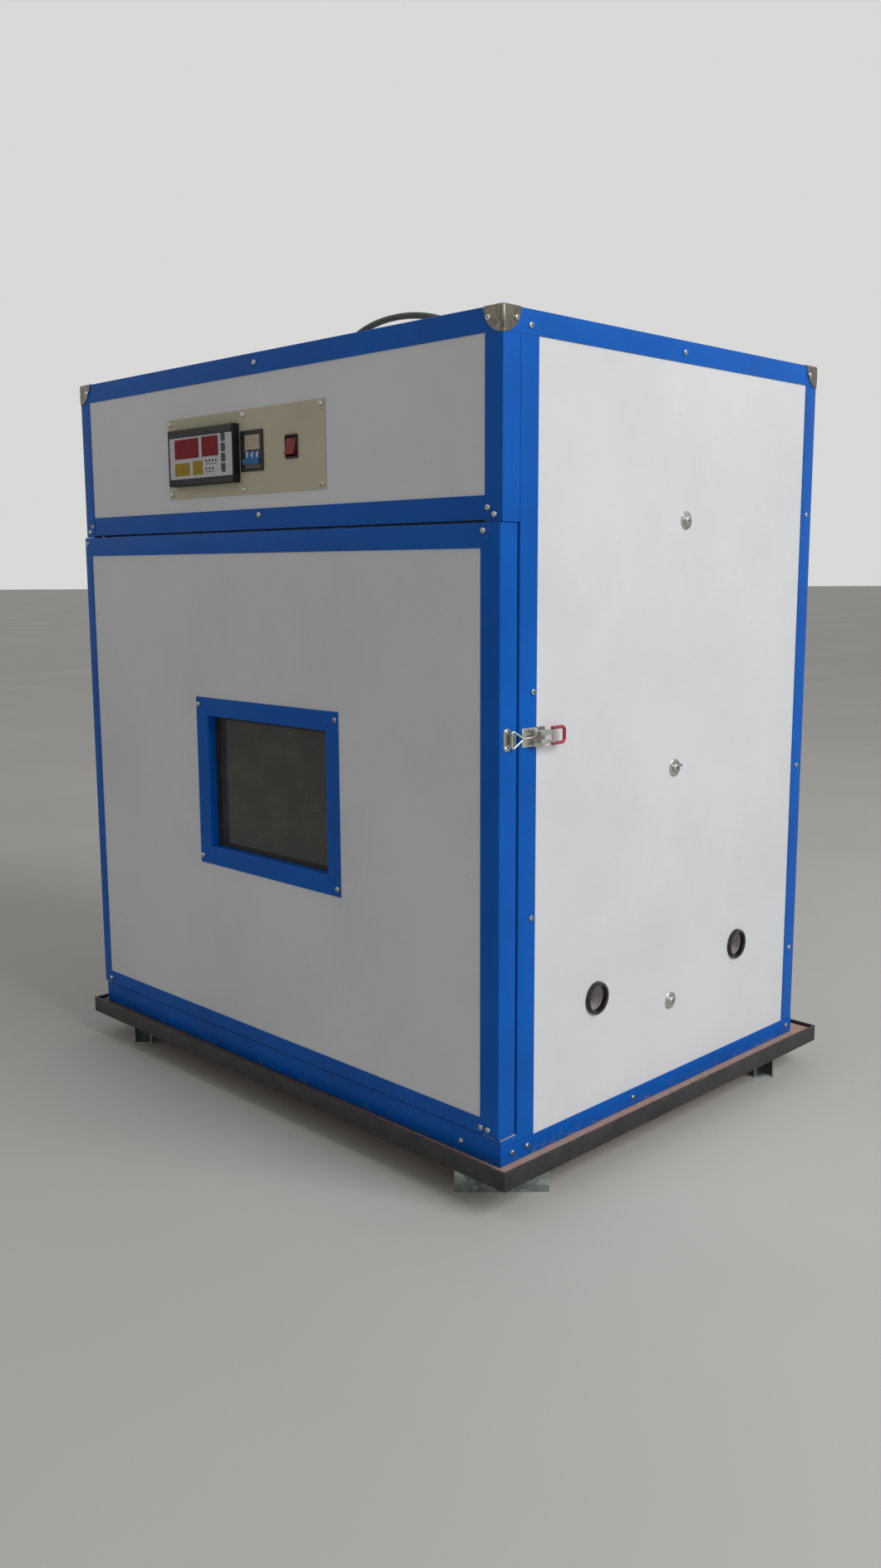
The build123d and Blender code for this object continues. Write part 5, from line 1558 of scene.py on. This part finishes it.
# Mains cord -------------------------------------------------------------------------------------
@dataclass
class MainsCord:
    """The mains cord on the roof: gland, free arch, put-away coil and plug."""

    length: float = 1.80
    diameter: float = 10 * MM
    outer_turn: float = 60.9 * MM
    inner_turn: float = 49.7 * MM
    low_layer: float = 5.2 * MM
    high_layer: float = 15.8 * MM
    per_turn: int = 24
    sleeve_height: float = 30 * MM
    sleeve_ribs: int = 5
    pin_length: float = 18 * MM
    arch: tuple = (
        (0, 0, 14), (0, 0, 38), (10, 0, 59.8), (29, -0.5, 77), (61, -1.5, 89), (104, -3, 96.5),
        (152, -4, 97.5), (200, -3, 92), (246, 0, 79), (287, 6, 59), (322, 16, 36), (355, 30, 19),
        (386, 50, 9), (412, 77, 6), (431, 111, 6))

    def __post_init__(self) -> None:
        """Find where the cord leaves the roof."""
        self.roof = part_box("cabinet_trim")[1].z
        self.foot = middle(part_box("cord_gland"))
        self.foot.z = self.roof

    def build(self) -> None:
        """Make the cord and what is on it."""
        relief, plug = self.gland(), self.plug()
        line = bpy.data.curves.new("mains_cord", "CURVE")
        line.dimensions, line.bevel_depth, line.use_fill_caps = "3D", self.diameter / 2, True
        line.bevel_resolution, line.resolution_u = 4, 6
        points = [self.foot + Vector(step) * MM for step in self.arch]
        points += self.coil_turns(points[-1])
        spline = line.splines.new("NURBS")
        spline.points.add(len(points) - 1)
        for spot, point in zip(spline.points, points):
            spot.co = (*point, 1.0)
        spline.order_u, spline.use_endpoint_u = 3, True
        line.materials.append(Kit.CORD.value.material())
        cord = bpy.data.objects.new("mains_cord", line)
        bpy.context.scene.collection.objects.link(cord)
        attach(cord, "root")
        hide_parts("cord_lead", "cord_coil")
        LOG.info("mains_cord: %d control points on root", len(points))

    def coil_turns(self, entry: Vector) -> list[Vector]:
        """Wind the coil and its tail to the plug.

        The turns go outer low, inner low, inner high and outer high, and change place in the
        60 degrees before they would meet themselves.

        Args:
            entry: The last point before the coil.

        Returns:
            The control points.
        """
        low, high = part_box("cord_coil")
        centre = Vector((high.x - (high.y - low.y) / 2, (low.y + high.y) / 2, self.roof))
        first = math.atan2(entry.y - centre.y, entry.x - centre.x)
        sweep = (math.pi / 2 - first) % math.tau + 3 * math.tau
        count = round(sweep / math.tau * self.per_turn)
        points = []
        for turn in [sweep * step / count for step in range(1, count + 1)]:
            across = self.eased(turn, 300) - self.eased(turn, 900)
            reach = self.outer_turn + (self.inner_turn - self.outer_turn) * across
            level = self.low_layer + (self.high_layer - self.low_layer) * self.eased(turn, 600)
            way = Vector((math.cos(first + turn), math.sin(first + turn), 0))
            points.append(centre + way * reach + UP * level)
        last, mouth = points[-1], middle(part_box("plug"))
        mouth.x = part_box("plug")[1].x
        for share in (0.25, 0.5, 0.75, 1.0, 1.06):
            spot = last.lerp(mouth, share)
            spot.z = last.z + (mouth.z - last.z) * min(1.0, share * share * (3 - 2 * share))
            points.append(spot)
        return points

    @staticmethod
    def eased(turn: float, start: float) -> float:
        """Ease from 0 to 1 over the 60 degrees of the turn after a start in degrees.

        Args:
            turn: How far the coil has turned, in radians.
            start: Where the stretch starts, in degrees.

        Returns:
            0 before the stretch and 1 after it.
        """
        share = min(1.0, max(0.0, (math.degrees(turn) - start) / 60))
        return share * share * (3 - 2 * share)

    def gland(self) -> bpy.types.Object:
        """Make the gland and its tapered, ribbed strain relief.

        Returns:
            The strain relief.
        """
        nut = prism(6, 12.3 * MM, 5 * MM, Matrix.Translation(self.foot + UP * 2.5 * MM))
        soften(nut, sharp(nut, 45), 0.7 * MM, 2)
        dome = [(4.5 * MM, 10.8 * MM), (9 * MM, 10.6 * MM), (12 * MM, 9 * MM), (14 * MM, 7.4 * MM),
                (14 * MM, 5.05 * MM), (4.5 * MM, 5.05 * MM), (4.5 * MM, 10.8 * MM)]
        merge(nut, turned(dome, UP, self.foot, RIGHT, 28))
        piece("cord_gland_nut", nut, "root", Kit.NYLON, ("cord_gland",))
        end = 9 * MM + self.sleeve_height
        profile = [(13 * MM, 5.1 * MM), (13 * MM, 7.3 * MM)]
        for rib in range(self.sleeve_ribs):
            level = 14 * MM + (self.sleeve_height - 6 * MM) * rib / self.sleeve_ribs
            radius = 7.3 * MM - 1.7 * MM * rib / self.sleeve_ribs
            profile += [(level, radius), (level + 2.6 * MM, radius - 0.2 * MM),
                        (level + 3.1 * MM, radius - 0.9 * MM), (level + 4.2 * MM, radius - 0.9 * MM)]
        profile += [(end, 5.5 * MM), (end, 5.1 * MM)]
        return piece("cord_strain_relief", turned(profile, UP, self.foot, RIGHT, 24), "root", Kit.NYLON)

    def plug(self) -> bpy.types.Object:
        """Make the moulded plug with grip ribs and its two pins.

        Returns:
            The plug's body.
        """
        low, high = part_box("plug")
        low = low + RIGHT * self.pin_length
        centre, half_width = middle((low, high)), (high.y - low.y) / 2
        bm = block(low, high)
        for vert in bm.verts:
            if vert.co.x > centre.x:
                vert.co.y = centre.y + (vert.co.y - centre.y) * 0.62
                vert.co.z = centre.z + (vert.co.z - centre.z) * 0.75
        soften(bm, bm.edges[:], 4 * MM, 4)
        for step in range(4):
            x = low.x + (12 + 5 * step) * MM
            half = half_width * (1 - 0.38 * (x - low.x) / (high.x - low.x))
            for side in (-1, 1):
                inner, outer = (centre.y + side * (half + proud) for proud in (-1.2 * MM, 0.1 * MM))
                merge(bm, block((x, inner, centre.z - 5 * MM), (x + 2 * MM, outer, centre.z + 5 * MM),
                                0.4 * MM))
        body = piece("plug_moulding", bm, "root", Kit.NYLON, ("plug",))
        pins, end = bmesh.new(), self.pin_length
        shape = [(-1 * MM, 0.05 * MM), (-1 * MM, 2.4 * MM), (end - 1.2 * MM, 2.4 * MM),
                 (end - 0.3 * MM, 1.6 * MM), (end, 0.05 * MM)]
        for side in (-1, 1):
            root = Vector((low.x, centre.y + side * 9.5 * MM, centre.z))
            merge(pins, turned(shape, -RIGHT, root, steps=20))
        piece("plug_pins", pins, "root", Kit.PIN).parent = body
        return body


# Studio -----------------------------------------------------------------------------------------
@dataclass
class Studio:
    """A pale floor, soft light from the latch side and above, and the camera."""

    floor_size: float = 160.0
    floor_drop: float = 0.4 * MM
    light_place: tuple[float, float, float] = (4.3, 0.5, 3.3)
    light_target: tuple[float, float, float] = (0.3, 0.1, 0.6)
    light_size: float = 2.8
    light_watts: float = 156.0
    fill: float = 0.385
    stand: tuple[float, float, float] = (1.4808, -1.4723, 0.7859)
    look: tuple[float, float, float] = (-0.70016, 0.69555, -0.16121)
    roll: float = 0.2419
    lens: float = 30.02

    def build(self) -> None:
        """Make the floor, the light, the world and the camera."""
        bm = bmesh.new()
        bmesh.ops.create_grid(bm, x_segments=4, y_segments=4, size=self.floor_size / 2)
        bmesh.ops.translate(bm, vec=UP * -self.floor_drop, verts=bm.verts[:])
        shape = bpy.data.meshes.new("plain_floor")
        bm.to_mesh(shape)
        bm.free()
        shape.materials.append(PlainFloor("plain_pale_floor", "", "#C8C7C3", 0.75).material())
        floor = bpy.data.objects.new("plain_floor", shape)
        bpy.context.scene.collection.objects.link(floor)
        self.light()
        self.world()
        self.camera()
        bpy.context.scene.view_settings.view_transform = "Standard"

    def light(self) -> None:
        """Add the square soft light."""
        lamp = bpy.data.lights.new("key_softbox", "AREA")
        lamp.shape, lamp.size, lamp.energy = "SQUARE", self.light_size, self.light_watts
        made = bpy.data.objects.new("key_softbox", lamp)
        made.location = self.light_place
        made.rotation_mode = "QUATERNION"
        way = Vector(self.light_target) - Vector(self.light_place)
        made.rotation_quaternion = way.to_track_quat("-Z", "Y")
        bpy.context.scene.collection.objects.link(made)

    def world(self) -> None:
        """Light all round evenly, and show the camera and every mirror a pale background."""
        world = bpy.data.worlds.new("studio")
        world.use_nodes = True
        bpy.context.scene.world = world
        tree = world.node_tree
        tree.nodes.clear()
        ray = add(tree, "ShaderNodeLightPath").outputs
        lit = add(tree, "ShaderNodeBackground", {"Color": linear("#F8F5F3"), "Strength": self.fill})
        shown = add(tree, "ShaderNodeBackground", {"Color": linear("#D9D9D7"), "Strength": 1.0})
        plain = ray["Is Glossy Ray"]
        for kind in ("Is Transmission Ray", "Is Camera Ray"):
            plain = add(tree, "ShaderNodeMath", {0: plain, 1: ray[kind]}, operation="MAXIMUM").outputs[0]
        both = add(tree, "ShaderNodeMixShader", {0: plain, 1: lit.outputs[0], 2: shown.outputs[0]})
        add(tree, "ShaderNodeOutputWorld", {"Surface": both.outputs[0]})

    def camera(self) -> None:
        """Stand the camera a little below the roof, off the corner between the door and the latch side."""
        data = bpy.data.cameras.new("camera")
        data.lens, data.sensor_width, data.sensor_fit = self.lens, 36.0, "AUTO"
        data.clip_start, data.clip_end = 0.05, 60.0
        made = bpy.data.objects.new("camera", data)
        bpy.context.scene.collection.objects.link(made)
        aim = Vector(self.look).to_track_quat("-Z", "Y").to_matrix().to_4x4()
        roll = Matrix.Rotation(math.radians(-self.roll), 4, "Z")
        made.matrix_world = Matrix.Translation(self.stand) @ aim @ roll
        bpy.context.scene.camera = made


def main() -> None:
    """Build the whole incubator and its studio."""
    logging.basicConfig(level=logging.INFO, format="%(message)s")
    for part in (Studio, MainsCord, Cabinet, ControlPanel, Door, DrawLatch, Fasteners, EggRack, AirAndHeat,
                 BaseTray):
        part().build()


if __name__ == "__main__":
    main()
